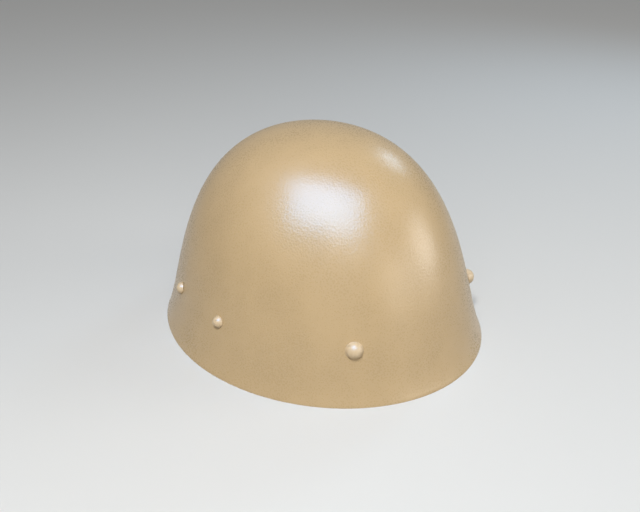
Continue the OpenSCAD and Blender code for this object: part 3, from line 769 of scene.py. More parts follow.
# %% [markdown]
# ## Leaf springs
# Each spring is one strip of blued steel. It lies flat on the wall under its rivet, arches over,
# and comes down on the liner's band. The strip's middle line is a chain of points: a foot, a half
# circle, and a pad. Extruding the chain sideways gives the strip, its four corners are rounded
# with a vertex bevel while it is still a sheet, and solidify and bevel finish it.

# %% Places on the head oval
HEAD_W, HEAD_L = 154, 194
LEATHER_T, FELT_T, BAND_T, LAYER = 1.6, 4, 1.2, 0.1
BAND_LOW, BAND_HIGH = 30, 50
BAND_MID = (BAND_LOW + BAND_HIGH) / 2
LONGER = (HEAD_L - HEAD_W) / 2
FELT_IN = LEATHER_T + LAYER
BAND_IN = FELT_IN + FELT_T + LAYER
BAND_OUT = BAND_IN + BAND_T


def standing(at, heading):
    """The frame of an upright piece at a place: X points outwards along a heading."""
    return Matrix.Translation(Vector(at) * MM) @ turn_by(heading, "Z")


def radial(angle):
    """A rivet's plan place, its heading, how far in the band lies from it, and the wall's lean."""
    at, plan = wall_plan(angle)
    way = plan.normalized()
    reach = math.hypot((HEAD_W / 2 + BAND_OUT) * way.x, (HEAD_L / 2 + BAND_OUT) * way.y)
    tilt = math.atan2(-SLOPE.x / SLOPE.y, plan.length)
    return at, math.atan2(way.y, way.x), at.dot(way) - reach, tilt


def lean_axes(tilt):
    """The two directions of a leaning wall in its side view: out of it, and up it."""
    return Vector((math.cos(tilt), math.sin(tilt))), Vector((-math.sin(tilt), math.cos(tilt)))


# %% Bend the springs
SPRING_W, FOOT, BOW_STEPS = 18, 17, 28
PAD_LOW, SPRING_CORNER = BAND_LOW + 1, 3.0
PAD_MID, PAD_PITCH = BAND_MID - 1.5, 8
POP_D = 3.1


def spring_line(span, tilt):
    """The spring's middle line from the foot's end to the pad's, as (outwards, height)."""
    out, up = lean_axes(tilt)
    seat = Vector((0, RIVET_HEIGHT)) - (WALL + SEAT_GAP + SPRING_T / 2) * out
    low, top = seat - FOOT / 2 * up, seat + FOOT / 2 * up
    bow_r = (span - SPRING_T / 2 + top.x) / (1 + math.cos(tilt))
    middle = top - bow_r * out
    turns = [tilt + (math.pi - tilt) * i / BOW_STEPS for i in range(BOW_STEPS + 1)]
    bow = [middle + bow_r * Vector((math.cos(t), math.sin(t))) for t in turns]
    pad = [Vector((middle.x - bow_r, z)) for z in ((middle.y + PAD_LOW) / 2, PAD_LOW)]
    return [low, seat] + bow + pad


def bent_strip(name, line, width, thick, corners, segments, edge, bends=()):
    """A strip of sheet bent along its side view's line, with a corner radius for each end."""
    half = width / 2
    piece = start_piece(name, (line[0].x, -half, line[0].y))
    chain([(p.x, -half, p.y) for p in line])
    bpy.ops.mesh.select_all(action="SELECT")
    bpy.ops.mesh.extrude_region_move(TRANSFORM_OT_translate={"value": (0, width * MM, 0)})
    if bends:
        select(piece, lambda p: any((p.xz - bend).length < NEAR for bend in bends), edges=True)
        bevel(BEND_R, 4, "EDGES")
    for end, corner in zip((line[0], line[-1]), corners):
        select(piece, lambda p: (p - Vector((end.x, math.copysign(half, p.y), end.y))).length < NEAR)
        bevel(corner, segments)
    close_mesh()
    thicken(piece, thick)
    soften(piece, edge)
    return piece


NEAR, BEND_R = 0.1, 1.4
for side, angle in SPRING_POSTS.items():
    at, heading, span, tilt = radial(angle)
    spring = bent_strip(f"{side}_spring_strip", spring_line(span, tilt), SPRING_W, SPRING_T,
                        (SPRING_CORNER, SPRING_CORNER), segments=5, edge=0.15)
    put(spring, standing(at, heading))
    drill(spring, [standing(at, heading) @ shift(-span, 0, PAD_MID + s * PAD_PITCH / 2) @ ACROSS
                   for s in (-1, 1)], POP_D / 2, depth=6)
    finish_piece(spring, spring_steel, [f"{side}_leaf_spring"], crease=30)

# %% [markdown]
# ## The liner's band
# The band is a strip of soft metal rolled to an oval, with its two edges broken. A circle of
# edges is extruded upwards and pulled longer along the head, and solidify gives it an even wall.

# %% Roll the band


def oval_sheet(name, grow, low, high, steps=144, rows=1):
    """An upright sheet round the head oval, without thickness."""
    piece = start_piece(name, (1, 0, low))
    chain([(1, 0, low + (high - low) * i / rows) for i in range(rows + 1)])
    spin_shut(steps)
    bpy.ops.mesh.select_all(action="SELECT")
    half = HEAD_W / 2 + grow
    stretch(half, half + LONGER, 1)
    close_mesh()
    return piece


band = oval_sheet("rolled_band", (BAND_IN + BAND_OUT) / 2, BAND_LOW, BAND_HIGH)
thicken(band, BAND_T)
soften(band, 0.3, segments=3)
finish_piece(band, band_metal, ["liner_band"])

# %% [markdown]
# ## Small tubular rivets
# The springs and the leather are held to the band with tubular rivets: a low domed head outside,
# and inside a rolled collar round the open end of the tube. The tube's mouth is what tells such a
# rivet from a solid one, so the outline dips into it.

# %% Turn the small rivets
POP_HEAD, POP_RISE, MOUTH = 5.6, 0.8, 1.0
LEATHER_RIVETS = [0, 66, 92, 149, 180, 211, 268, 294]


def tube_rivet(name, grip):
    """A tubular rivet along Z: its head stands on Z = 0 and its collar on -grip."""
    head, rim, shank = dome(POP_HEAD, POP_RISE, steps=6), POP_HEAD / 2, (POP_D - 0.1) / 2
    collar = [(rim - 0.25, 0), (rim, 0.3), (rim - 0.3, 0.6), (1.7, POP_RISE), (1.15, 0.6),
              (MOUTH, 0.2), (MOUTH, -1.2), (0, -1.4)]
    points = [(shank, 0, 0), (shank, 0, -grip)] + [(x, 0, -grip - deep) for x, deep in collar]
    return turned(name, head[::-1] + points, 24)


def rivet_set(name, node, sets):
    """Rivets of one kind as one piece. Each set is a grip and the places that it suits."""
    rivets = []
    for grip, places in sets:
        pattern = tube_rivet("pattern", grip)
        rivets += [copy_to(pattern, "rivet", place @ ACROSS) for place in places]
        bpy.data.objects.remove(pattern)
    finish_piece(joined(name, rivets), plain_steel, [node])


def band_depth(at, heading):
    """How far in from the wall a spring's rivets meet the band's inner face."""
    half = HEAD_W / 2 + BAND_IN
    start = Vector((at.x / half, at.y / (half + LONGER)))
    along = Vector((math.cos(heading) / half, math.sin(heading) / (half + LONGER)))
    middle, spread = start.dot(along), along.dot(along)
    return (middle - math.sqrt(middle**2 - spread * (start.dot(start) - 1))) / spread


def on_oval(angle, grow):
    """The frame of a point of the head oval, angle in degrees from the brow."""
    turn, half = math.radians(angle), HEAD_W / 2 + grow
    at = (half * math.sin(turn), -(half + LONGER) * math.cos(turn), BAND_MID)
    return standing(at, math.atan2(-math.cos(turn) / (half + LONGER), math.sin(turn) / half))


pads = []
for angle in SPRING_POSTS.values():
    at, heading, span, _ = radial(angle)
    places = [standing(at, heading) @ shift(SPRING_T - span, 0, PAD_MID + s * PAD_PITCH / 2)
              for s in (-1, 1)]
    pads.append((SPRING_T + band_depth(at, heading) - span + SEAT_GAP, places))
rivet_set("spring_tube_rivets", "spring_pad_rivets", pads)
buttons = [on_oval(angle, BAND_OUT) @ shift(SEAT_GAP / 3) for angle in LEATHER_RIVETS]
rivet_set("leather_tube_rivets", "leather_rivets", [(BAND_OUT + SEAT_GAP, buttons)])

# %% [markdown]
# ## Felt
# A strip of grey felt keeps the band off the head. Felt has no weave: it is a mat of fibres, with
# a fuzzy cut edge. The strip is a sheet with rounded edges whose faces are pushed in and out by
# up to a quarter of a millimetre, and its grain comes from two sizes of noise.

# %% Felt strip
felt = Finish("grey_felt")
tufts = felt.noise(2.6, detail=6.0, roughness=0.75)
hairs = felt.noise(0.5, detail=3.0, roughness=0.7, place=felt.stretched((1, 1, 0.35)))
wool = felt.mix(tufts.band(0.35, 0.65), srgb(96, 90, 78), srgb(136, 129, 113))
wool = felt.mix(hairs.band(0.55, 0.8) * 0.6, wool, srgb(168, 160, 142))
wool = felt.mix(felt.noise(17).band(0.4, 0.7) * 0.3, wool, srgb(90, 82, 68))
mat = felt.bump(hairs, 0.25, felt.bump(tufts, 0.5))
grey_felt = felt.done(gloss=0.2, Base_Color=wool, Roughness=0.96, Normal=mat, Sheen_Weight=0.3,
                      Sheen_Roughness=0.6)

FELT_ROWS, FELT_SIDES, FELT_TRIM, FELT_PRESS = 5, 200, 0.4, 0.5
RUFFLE_DEPTH, RUFFLE_SIZE = 0.25, 5
pad = oval_sheet("felt_strip", (FELT_IN + BAND_IN - LAYER) / 2, BAND_LOW + FELT_TRIM,
                 BAND_HIGH - FELT_TRIM, FELT_SIDES, FELT_ROWS)
thicken(pad, FELT_T - FELT_PRESS)
soften(pad, 1.1, segments=3)
for point in pad.data.vertices:
    point.co += point.normal * (noise.noise(point.co / (RUFFLE_SIZE * MM)) * RUFFLE_DEPTH * MM)
finish_piece(pad, grey_felt, ["felt_pad"], crease=60)

# %% [markdown]
# ## Leather
# Leather is never one brown. The hide has soft clouds where oil and sweat have darkened it, a fine
# pebble of pores, and short creases. Cut edges are rubbed until they are dark and smooth. The
# pieces carry a small "edge" value on each point, so the material knows where an edge is.

# %% Leather finishes


def leather(name, colour, pore, shine):
    hide = Finish(name)
    edge = hide.attribute("edge")
    clouds = hide.noise(19, detail=4.0, roughness=0.6)
    pebble = hide.cells(pore, feature="SMOOTH_F1")
    warp = {0: hide.noise(5, output="Color"), 1: (0.004,) * 3, 2: hide.place}
    bent = hide.node("VectorMath", {"operation": "MULTIPLY_ADD"}, warp)
    lines = hide.cells(7, feature="DISTANCE_TO_EDGE", place=bent).band(0.045, 0.0)
    crease = lines * hide.noise(26).band(0.48, 0.72)
    tone = hide.mix(clouds.band(0.3, 0.72), tinted(colour, 0.66), tinted(colour, 1.2))
    tone = hide.mix(pebble.band(0.3, 0.75) * 0.35, tone, tinted(colour, 0.5))
    tone = hide.mix(crease * 0.16, tone, tinted(colour, 0.35))
    worn = (edge + (clouds - 0.5) * 0.5).band(0.35, 0.9)
    tone = hide.mix(worn * 0.75, tone, tinted(colour, 0.32))
    grain = hide.bump(1 - pebble, 0.09, hide.bump(hide.noise(0.28), 0.02))
    surface = hide.bump(1 - crease, 0.045, hide.bump(clouds, 0.5, grain))
    rough = shine + clouds * 0.2 + pebble * 0.08 + worn * 0.06
    return hide.done(gloss=0.45, Base_Color=tone, Roughness=rough, Normal=surface)


liner_hide = leather("liner_hide", srgb(160, 114, 74), pore=1.1, shine=0.46)
strap_hide = leather("strap_hide", srgb(122, 78, 46), pore=0.8, shine=0.36)

# %% [markdown]
# ## Cotton
# The drawstring and the sewing thread are cotton, off-white and grubby where hands pull them.

# %% Cotton finish
cotton = Finish("cotton_cord")
fibre = cotton.noise(0.22, detail=3.0, roughness=0.7)
grime = cotton.noise(9, detail=4.0).band(0.45, 0.75) * 0.45
lint = cotton.mix(fibre.band(0.3, 0.7), srgb(176, 160, 124), srgb(222, 208, 174))
lint = cotton.mix(grime, lint, srgb(140, 118, 84))
cotton_cord = cotton.done(gloss=0.2, Base_Color=lint, Roughness=0.92, Normal=cotton.bump(fibre, 0.08))

# %% [markdown]
# ## The leather liner
# One hide runs round the head. Above the band it is cut into eight tongues that lean in to the
# crown, where each is folded over the drawstring and sewn down. It is laid out as a grid of points:
# rows follow the outline upwards, and columns share out each tongue between its two slots. Where
# a row lies below the slots, neighbouring tongues share their edge points, so the hide stays whole.

# %% Rows of the liner
TONGUES, COLUMNS = 8, 14
HIDE_LOW, CROWN_Z, CROWN_R = BAND_LOW - 2, 114, 36
HIDE_OUT = HEAD_W / 2 + LEATHER_T
HIDE_LINE = [Vector((HIDE_OUT, BAND_HIGH)), Vector((HIDE_OUT, BAND_HIGH + 35.2)),
             Vector((HEAD_W / 2 - 14, CROWN_Z - 6)), Vector((CROWN_R, CROWN_Z))]
CORD_D = 2.6
HEM_R = CORD_D / 2 + 2 * LAYER + LEATHER_T
SLOT_FOOT, SLOT_TOP = 4, 13
SLOT_LOW, SLOT_HIGH = BAND_HIGH + 10, CROWN_Z + 2 * HEM_R
STRAIGHT_ROWS = (HIDE_LOW, 28.8, 31, 36, 42, 47)
TONGUE_ROWS = (50, 53, 56, 58.5, 60, 60.25, 60.9, 62, 64.5, 69, 75, 81, 87, 92.5, 97.5, 102, 106, 109,
               111.3, 113)
HEM_TURNS, FLAP = range(0, 216, 24), (0.955, 0.92, 0.885, 0.85)
HEM_WIDENS, FLAP_WIDENS = 0.4, 1.2


def inset(points, t, depth):
    """A point inside the curve by a depth."""
    way = along_curve(points, t)
    return on_curve(points, t) - depth * Vector((way.y, -way.x))


def slot_width(z):
    """How wide a slot between two tongues is at a height: round at its foot, then wider."""
    foot = SLOT_FOOT / 2
    if z <= SLOT_LOW:
        return 0.0
    if z < SLOT_LOW + foot:
        return 2 * math.sqrt(foot**2 - (SLOT_LOW + foot - z) ** 2)
    return SLOT_FOOT + (SLOT_TOP - SLOT_FOOT) * (z - SLOT_LOW - foot) / (SLOT_HIGH - SLOT_LOW - foot)


def hide_row(spot, widens):
    """A row of the grid: its reach sideways, its height, its slots' width, and how far up it is."""
    return spot.x, spot.y, slot_width(spot.y) + widens, 1.0


hem_middle = inset(HIDE_LINE, 1, HEM_R)
hem_way = along_curve(HIDE_LINE, 1)
hem_lean = math.degrees(math.atan2(-hem_way.x, hem_way.y))
rows = [(HIDE_OUT - LEATHER_T / 2, z, 0.0, 0.0) for z in STRAIGHT_ROWS]
for z in TONGUE_ROWS:
    spot = inset(HIDE_LINE, at_height(HIDE_LINE, z), LEATHER_T / 2)
    rows.append((spot.x, spot.y, slot_width(z), (z - BAND_HIGH) / (CROWN_Z - BAND_HIGH)))
for turn in HEM_TURNS:
    way = math.radians(hem_lean + turn)
    spot = hem_middle + (HEM_R - LEATHER_T / 2) * Vector((math.cos(way), math.sin(way)))
    rows.append(hide_row(spot, HEM_WIDENS))
rows += [hide_row(inset(HIDE_LINE, t, LEATHER_T * 1.5 + LAYER), FLAP_WIDENS) for t in FLAP]

# %% Lay the grid


def slot_edge(row, slot, side):
    """The turn round the row's oval at which a slot's edge lies. side is -1 or 1."""
    x, _, width, _ = row
    plane = math.radians((slot + 0.5) * 360 / TONGUES)
    across, along = x * math.sin(plane), (x + LONGER) * math.cos(plane)
    middle = math.atan2(across, along)
    return middle + side * math.asin(width / 2 / math.hypot(across, along))


def liner_point(row, tongue, u):
    """A point of a tongue, u from 0 to 1 across it, bowed out a little between its slots."""
    x, z, _, rise = row
    start, end = slot_edge(row, tongue - 1, 1), slot_edge(row, tongue, -1)
    turn = start + (end - start) % ROUND * u
    c, s = math.cos(turn), math.sin(turn)
    bow = math.sin(math.pi * u) * rise**2 * (1 - rise * 0.4)
    grow = noise.noise(Vector((c * 3, s * 3, z / 24))) * 0.8 * rise
    way = Vector((c * (1 - rise * 0.6), s * (1 - rise * 0.6), rise * 0.8))
    return Vector((x * c, (x + LONGER) * s, z)) + way * (bow + grow)


corners, faces, marks = [], [], []
wide = COLUMNS + 1
for tongue in range(TONGUES):
    first = len(corners)
    for row in rows:
        cut_row = row in (rows[0], rows[-1])
        corners += [liner_point(row, tongue, j / COLUMNS) for j in range(wide)]
        marks += [float(cut_row or (j in (0, COLUMNS) and row[2] > 0)) for j in range(wide)]
    starts = [first + i * wide + j for i in range(len(rows) - 1) for j in range(COLUMNS)]
    faces += [(at, at + 1, at + wide + 1, at + wide) for at in starts]
liner = mesh_piece("sewn_liner", corners, faces, marks, reach=0.02)
thicken(liner, LEATHER_T)
soften(liner, 0.3, limit=1.2)
apply(liner, "SUBSURF", levels=1, render_levels=1)
finish_piece(liner, liner_hide, ["leather_liner"], crease=60)

# %% [markdown]
# ## Sewing
# Each tongue's fold is sewn down with one row of stitches that shows on both faces. A stitch is a
# short thread that dips into the leather at its ends, so each is a bent rod with a few dozen faces.

# %% Thread
LEAN = Vector((0.31, 0.17, 0.94))


def headings(path, closed=False):
    """The direction of a path at each of its points."""
    ways, last = [], len(path) - 1
    for i, middle in enumerate(path):
        before = path[i - 1] if i or closed else middle
        after = path[(i + 1) % len(path)] if i < last or closed else middle
        ways.append((after - before).normalized())
    return ways


def ring(middle, side, top, radius, sides):
    """Points round a middle, in the plane of two directions."""
    turns = [ROUND * j / sides for j in range(sides)]
    return [middle + (side * math.cos(t) + top * math.sin(t)) * radius for t in turns]


def ring_faces(rings, sides, closed=False):
    """The faces between rings of corners, and a cap at each end of an open row of them."""
    faces = []
    for i in range(rings if closed else rings - 1):
        a, b = i * sides, (i + 1) % rings * sides
        faces += [(a + j, a + (j + 1) % sides, b + (j + 1) % sides, b + j) for j in range(sides)]
    if not closed:
        faces += [tuple(reversed(range(sides))), tuple(range((rings - 1) * sides, rings * sides))]
    return faces


def stitch(at, way, up, length=2.6, thread=0.36):
    """The corners and faces of one stitch: a rod along a way, bowed up and sunk at its ends."""
    side, corners = way.cross(up).normalized(), []
    for s in (-1.0, -0.5, 0.0, 0.5, 1.0):
        middle = at + way * (s * length / 2) + up * (thread * (0.55 - 1.1 * s**4))
        corners += ring(middle, side, up, thread, 6)
    return corners, ring_faces(5, 6)


def sewing(name, parts, body="helmet", place=None, nodes=()):
    """One cotton piece of many stitches or strands."""
    corners, faces = [], []
    for points, sides in parts:
        faces += [tuple(len(corners) + i for i in face) for face in sides]
        corners += points
    piece = mesh_piece(name, corners, faces)
    if place is not None:
        put(piece, place)
    finish_piece(piece, cotton_cord, nodes, body, crease=50)


STITCHES, SEAM_T, SEAM_EDGE = 7, 0.905, 3.5
thread = []
for depth, facing in ((LEATHER_T * 2 + LAYER, -1), (0.0, 1)):
    way = along_curve(HIDE_LINE, SEAM_T)
    row = hide_row(inset(HIDE_LINE, SEAM_T, depth), SEAM_EDGE)
    for i in range(TONGUES * STITCHES):
        tongue, place = divmod(i, STITCHES)
        a, b = (liner_point(row, tongue, (place + s) / STITCHES) for s in (0.15, 0.85))
        at, along = (a + b) / 2, b - a
        out = Vector((at.x, at.y, 0)).normalized() * way.y + Vector((0, 0, -way.x))
        up = (out - along * out.dot(along) / along.length_squared).normalized() * facing
        thread.append(stitch(at, along.normalized(), up, length=along.length))
sewing("liner_sewing", thread)

# %% [markdown]
# ## Drawstring
# The cord is laid from three strands. Each strand is a tube that winds round the cord's middle
# line, so the real twist shows in the slots. The knot is tied from the same cord: one smooth round
# cord tied overhand and drawn tight, with two short laid ends that taper off.

# %% Lay the cord
STRANDS, STRAND_R, LAY_R, LAY_PITCH = 3, 0.69, 0.62, 7.5
CORD_STEPS = 560


def crossways(path, closed=False):
    """For each point of a path, two directions square to the path."""
    ways = headings(path, closed)
    sides = [way.cross(LEAN).normalized() for way in ways]
    return [(side, side.cross(way)) for side, way in zip(sides, ways)]


def tube(path, radius, sides=8, closed=False):
    """The corners and faces of a tube along a path. radius may change along it."""
    corners = []
    for i, (middle, (side, top)) in enumerate(zip(path, crossways(path, closed))):
        r = radius(i / (len(path) - 1)) if callable(radius) else radius
        corners += ring(middle, side, top, r, sides)
    return corners, ring_faces(len(path), sides, closed)


def laid_cord(path, turns, closed=False, radius=STRAND_R):
    """Three strands wound round a path."""
    parts, frames = [], crossways(path, closed)
    for strand in range(STRANDS):
        line = []
        for i, (middle, (side, top)) in enumerate(zip(path, frames)):
            turn = ROUND * (turns * i / len(path) + strand / STRANDS)
            line.append(middle + (side * math.cos(turn) + top * math.sin(turn)) * LAY_R)
        parts.append(tube(line, radius, closed=closed))
    return parts


def hem_point(turn):
    """A point of the hem's middle line."""
    reach = hem_middle.x
    return Vector((reach * math.cos(turn), (reach + LONGER) * math.sin(turn), hem_middle.y))


cord_path = [hem_point(ROUND * i / CORD_STEPS) for i in range(CORD_STEPS)]
cord_length = sum((b - a).length for a, b in zip(cord_path, cord_path[1:] + cord_path[:1]))
strands = laid_cord(cord_path, round(cord_length / LAY_PITCH), closed=True)
sewing("laid_drawstring", strands, nodes=["drawstring"])
print("drawstring is", round(cord_length), "mm round")

# %% Tie the knot
KNOT_SCALE, KNOT_DEEP, KNOT_STEPS, KNOT_R = 0.78, 1.75, 120, 1.12
END_STEPS, END_TURNS = 21, 1.3
slot_way = math.radians(90 + 180 / TONGUES)
long_reach = hem_middle.x + LONGER
knot_turn = math.atan2(math.sin(slot_way) / long_reach, math.cos(slot_way) / hem_middle.x)
knot_at = hem_point(knot_turn)
cord_way = Vector((-hem_middle.x * math.sin(knot_turn), long_reach * math.cos(knot_turn), 0))
cord_way.normalize()
outward, upward = Vector((cord_way.y, -cord_way.x, 0)), Vector((0, 0, 1))
knot_path = []
for i in range(KNOT_STEPS):
    t = ROUND * i / KNOT_STEPS
    x, y = math.sin(t) + 2 * math.sin(2 * t), math.cos(t) - 2 * math.cos(2 * t)
    lift = -math.sin(3 * t) * KNOT_DEEP
    knot_path.append(knot_at + (outward * x + upward * y + cord_way * lift) * KNOT_SCALE)
ends = []
for side, length in ((-1, 9.5), (1, 8.0)):
    tail = []
    for i in range(END_STEPS + 1):
        s = i / END_STEPS
        drop = cord_way * side * (1.2 + 2.6 * s - 1.2 * s**2) - upward * (1.5 + length * s)
        tail.append(knot_at + drop - outward * (0.8 + 1.5 * s**2 * side))
    ends += laid_cord(tail, END_TURNS, radius=lambda s: STRAND_R * (0.92 - 1.75 * max(0.0, s - 0.8)))
knot = tube(knot_path, KNOT_R, sides=12, closed=True)
sewing("tied_knot", [knot] + ends, nodes=["drawstring_knot"])

# %% [markdown]
# ## Chinstrap frames
# The strap is one loop that swings on two pivots. All of it is drawn in the loop's own plane and
# turned into place once: X across the head, Y from the pivots to the chin, Z across the strap. A
# leg of the loop has its own frame, X along the leg and Y outwards.

# %% The loop and its legs
PIVOT_Z, LEG_LEAN = 24, math.radians(26)
SWIVEL_T, SWIVEL_GAP, BAR_REACH, BAR_W, CHEEK_W = 1.6, 0.2, 14, 2.4, 2.2
STRAP_W, STRAP_T, STRAP_GAP = 15, 1.8, 0.3
WIRE_D, ROLLER_D, PIN_D, EYE_W = 2.4, 4, 2, 4
HEEL, BUCKLE_L, TIP = 34, 18, 25
FLOOR_GAP, TUCK_GAP = 0.6, 17.3
LUG_W, LUG_FOOT, LUG_CRANK, LUG_DROP = 16, 16, 2.2, 4
SIDES = {"left": 1, "right": -1}
lug_out, lug_up = lean_axes(math.atan2(-SLOPE.x, SLOPE.y))
lug_seat = Vector((WALL_R, RIVET_HEIGHT)) - (WALL + SEAT_GAP) * lug_out
lug_knee = lug_seat - LUG_FOOT / 2 * lug_up
tab_x, tab_top = lug_knee.x - LUG_CRANK, lug_knee.y - LUG_DROP
loop_x = tab_x - LUG_T - SWIVEL_GAP - SWIVEL_T / 2
loop_depth = LENGTH / 2 - TUCK_GAP
lean_sin, lean_cos = math.sin(LEG_LEAN), math.cos(LEG_LEAN)
leg_length = (loop_depth - STRAP_T / 2 - BAR_REACH) * lean_cos / (1 - lean_sin) - loop_x
leg_end = Vector((loop_x - leg_length * lean_sin, BAR_REACH + leg_length * lean_cos))
loop_r = leg_end.x / lean_cos
loop_y = leg_end.y - loop_r * lean_sin
LEG_TURN = QUARTER + LEG_LEAN
rest_tilt = math.asin((PIVOT_Z - STRAP_W / 2 - FLOOR_GAP) / loop_depth)
LOOP = shift(0, 0, PIVOT_Z) @ turn_by(-rest_tilt, "X")
UPENDED = Matrix(((0, 0, 1, 0), (1, 0, 0, 0), (0, 1, 0, 0), (0, 0, 0, 1)))


def mirrored(side):
    """Side 1 is the wearer's left, as drawn, and -1 the right."""
    return scale_by(side, 1, 1)


def on_leg(x, y=0.0, z=0.0, side=1):
    """The frame at a point of a leg of the loop."""
    foot = LOOP @ mirrored(side) @ shift(loop_x, BAR_REACH)
    return foot @ turn_by(LEG_TURN, "Z") @ scale_by(1, -1, 1) @ shift(x, y, z)


def leg_points(side, points):
    """Points of a leg as points in the plane of the loop."""
    c, s = math.cos(LEG_TURN), math.sin(LEG_TURN)
    return [Vector((side * (x * c + y * s + loop_x), x * s - y * c + BAR_REACH)) for x, y in points]


# %% [markdown]
# ## Leather strips
# A strap is a strip with rubbed, rounded edges. Its cross-section is a rounded oblong that runs
# along a path in the strap's plane, and a value on each point marks the edges and the two creases
# that a strap maker draws beside them.

# %% A strip along a path
SKIN, CREASE_IN, CREASE_DEEP, CREASE_HALF = 0.14, 1.75, 0.16, 0.55


def section(width, thick):
    """A rounded oblong a hair thinner than its space, as (across, depth, edge value)."""
    thick -= SKIN
    r, half, deep = thick * 0.42, width / 2, thick / 2
    crease = half - CREASE_IN
    right = [(0.0, deep + 0.03, 0.0), (half * 0.5, deep + 0.02, 0.0),
             (crease - CREASE_HALF, deep, 0.0), (crease, deep - CREASE_DEEP, 0.8),
             (crease + CREASE_HALF, deep, 0.15), (half - r, deep, 0.75),
             (half - r * 0.3, deep - r * 0.28, 1.0), (half, deep - r, 1.0)]
    upper = [(-a, d, e) for a, d, e in reversed(right[1:])] + right
    return upper + [(a, -d, e) for a, d, e in reversed(upper)]


def resample(path, step, closed=False):
    """Points at even steps along a path."""
    line = path + path[:1] if closed else path
    lengths = [(b - a).length for a, b in zip(line, line[1:])]
    total = sum(lengths)
    pieces = max(2, round(total / step))
    out, walked, i = [], 0.0, 0
    for k in range(pieces if closed else pieces + 1):
        want = total * k / pieces
        while i < len(lengths) - 1 and walked + lengths[i] < want:
            walked += lengths[i]
            i += 1
        out.append(line[i].lerp(line[i + 1], min(1.0, (want - walked) / lengths[i])))
    return out


def strip(name, path, width, thick, closed=False, narrow=None, step=0.9):
    """A strip of leather along a path in a plane, its width across the plane."""
    path = resample(path, step, closed)
    shape, corners, marks = section(width, thick), [], []
    for i, (at, way) in enumerate(zip(path, headings(path, closed))):
        left = narrow((len(path) - 1 - i) * step) if narrow else 1.0
        corners += [Vector((at.x + way.y * d, at.y - way.x * d, a * left)) for a, d, _ in shape]
        end = not closed and i in (0, len(path) - 1)
        marks += [1.0 if end else e for _, _, e in shape]
    return mesh_piece(name, corners, ring_faces(len(path), len(shape), closed), marks)


def finish_strap(piece, node):
    finish_piece(piece, strap_hide, [node], "chinstrap", crease=45)


# %% The long strap's path
bar_hole_r = math.hypot(BAR_W, SWIVEL_T) / 2 + STRAP_GAP
bar_eye = bar_hole_r + STRAP_T / 2
heel_hole_r = WIRE_D / 2 + STRAP_GAP / 2
heel_eye = heel_hole_r + STRAP_T / 2
TOE = HEEL + BUCKLE_L
lane_under = -(ROLLER_D / 2 + STRAP_GAP + STRAP_T / 2)
lane_over = heel_hole_r + STRAP_T + STRAP_GAP + STRAP_T / 2
lane_flat = STRAP_T + STRAP_GAP + STRAP_T / 2
PLY, NECK = STRAP_T / 2, 9.2
CHIN_STEPS, TIP_REACH, TIP_BLUNT = 60, 9.0, 0.12


def arc(middle, radius, start, end, steps=16):
    """Points of an arc in a leg's frame, from one turn to another in degrees."""
    turns = [math.radians(start + (end - start) * i / steps) for i in range(steps + 1)]
    return [(middle + radius * math.cos(t), radius * math.sin(t)) for t in turns]


def glide(start, end, steps=12):
    """A smooth slope between two stations of a leg."""
    (x, y), (far_x, far_y) = start, end
    return [(x + (far_x - x) * i / steps, y + (far_y - y) * (1 - math.cos(math.pi * i / steps)) / 2)
            for i in range(steps + 1)]


bar_loop = [(NECK, -PLY), (6.2, -1.4)] + arc(0, bar_eye, 285, 75) + [(6.2, 1.4), (NECK, PLY)]
right = [(24, -PLY), (16, -PLY)] + bar_loop + [(22, PLY)]
right += glide((24.6, PLY), (30.5, 0), 8) + [(leg_length, 0)]
lane = [(leg_length, 0)] + glide((leg_length, 0), (TOE + 3, lane_under))
lane += glide((TOE - WIRE_D, lane_under), (HEEL + 1, lane_over))
lane += glide((HEEL - 2, lane_over), (HEEL - 9, lane_flat)) + [(HEEL - TIP, lane_flat)]
sweep = math.pi - 2 * LEG_LEAN
turns = [math.pi - LEG_LEAN - sweep * i / CHIN_STEPS for i in range(1, CHIN_STEPS)]
chin = [Vector((loop_r * math.cos(t), loop_y + loop_r * math.sin(t))) for t in turns]


def tip_width(left):
    """The strap's end narrows to a rounded point over its last nine millimetres."""
    if left > TIP_REACH:
        return 1.0
    swell = math.sqrt(1 - (1 - left / TIP_REACH) ** 2.4)
    return max(TIP_BLUNT, swell * (1 - TIP_BLUNT) + TIP_BLUNT)


path = leg_points(-1, right) + chin + leg_points(1, lane)
long_strap = put(strip("long_strap", path, STRAP_W, STRAP_T, narrow=tip_width), LOOP)

# %% [markdown]
# The holes are punched through the finished strip: four round ones for the tongue, a longer one
# where the tongue stands now, and one for the rivet at the folded end.

# %% Punch the holes
HOLE_D, HOLE_PITCH, TONGUE_HOLE, END_RIVET = 3.2, 11, 7, 13
TONGUE_LIFT, LIFT_STEPS = 15, 5
bore, EYE_WALL = WIRE_D / 2 + 0.06, 1.3
eye_r = bore + EYE_WALL
pin_foot = eye_r - PIN_D / 2
pin_rest = ROLLER_D / 2 + STRAP_GAP + PIN_D / 2
pin_rise = math.atan2(pin_rest - pin_foot, BUCKLE_L)
PIN_WAY = shift(0, pin_foot) @ turn_by(pin_rise, "Z") @ ACROSS
punches = [on_leg(HEEL + TONGUE_HOLE + i * HOLE_PITCH) @ THROUGH for i in (-2, -1, 1, 2)]
drill(long_strap, punches, HOLE_D / 2)
cut_length = BUCKLE_L - ROLLER_D
pin_middle = PIN_WAY @ shift(0, 0, cut_length / 2)
for i in range(LIFT_STEPS + 1):
    lifted = on_leg(HEEL) @ turn_by(math.radians(TONGUE_LIFT * i / LIFT_STEPS), "Z")
    drill(long_strap, [lifted @ pin_middle], HOLE_D / 2, cut_length)
drill(long_strap, [on_leg(END_RIVET, side=-1) @ THROUGH], POP_D / 2)
finish_strap(long_strap, "chinstrap_long")

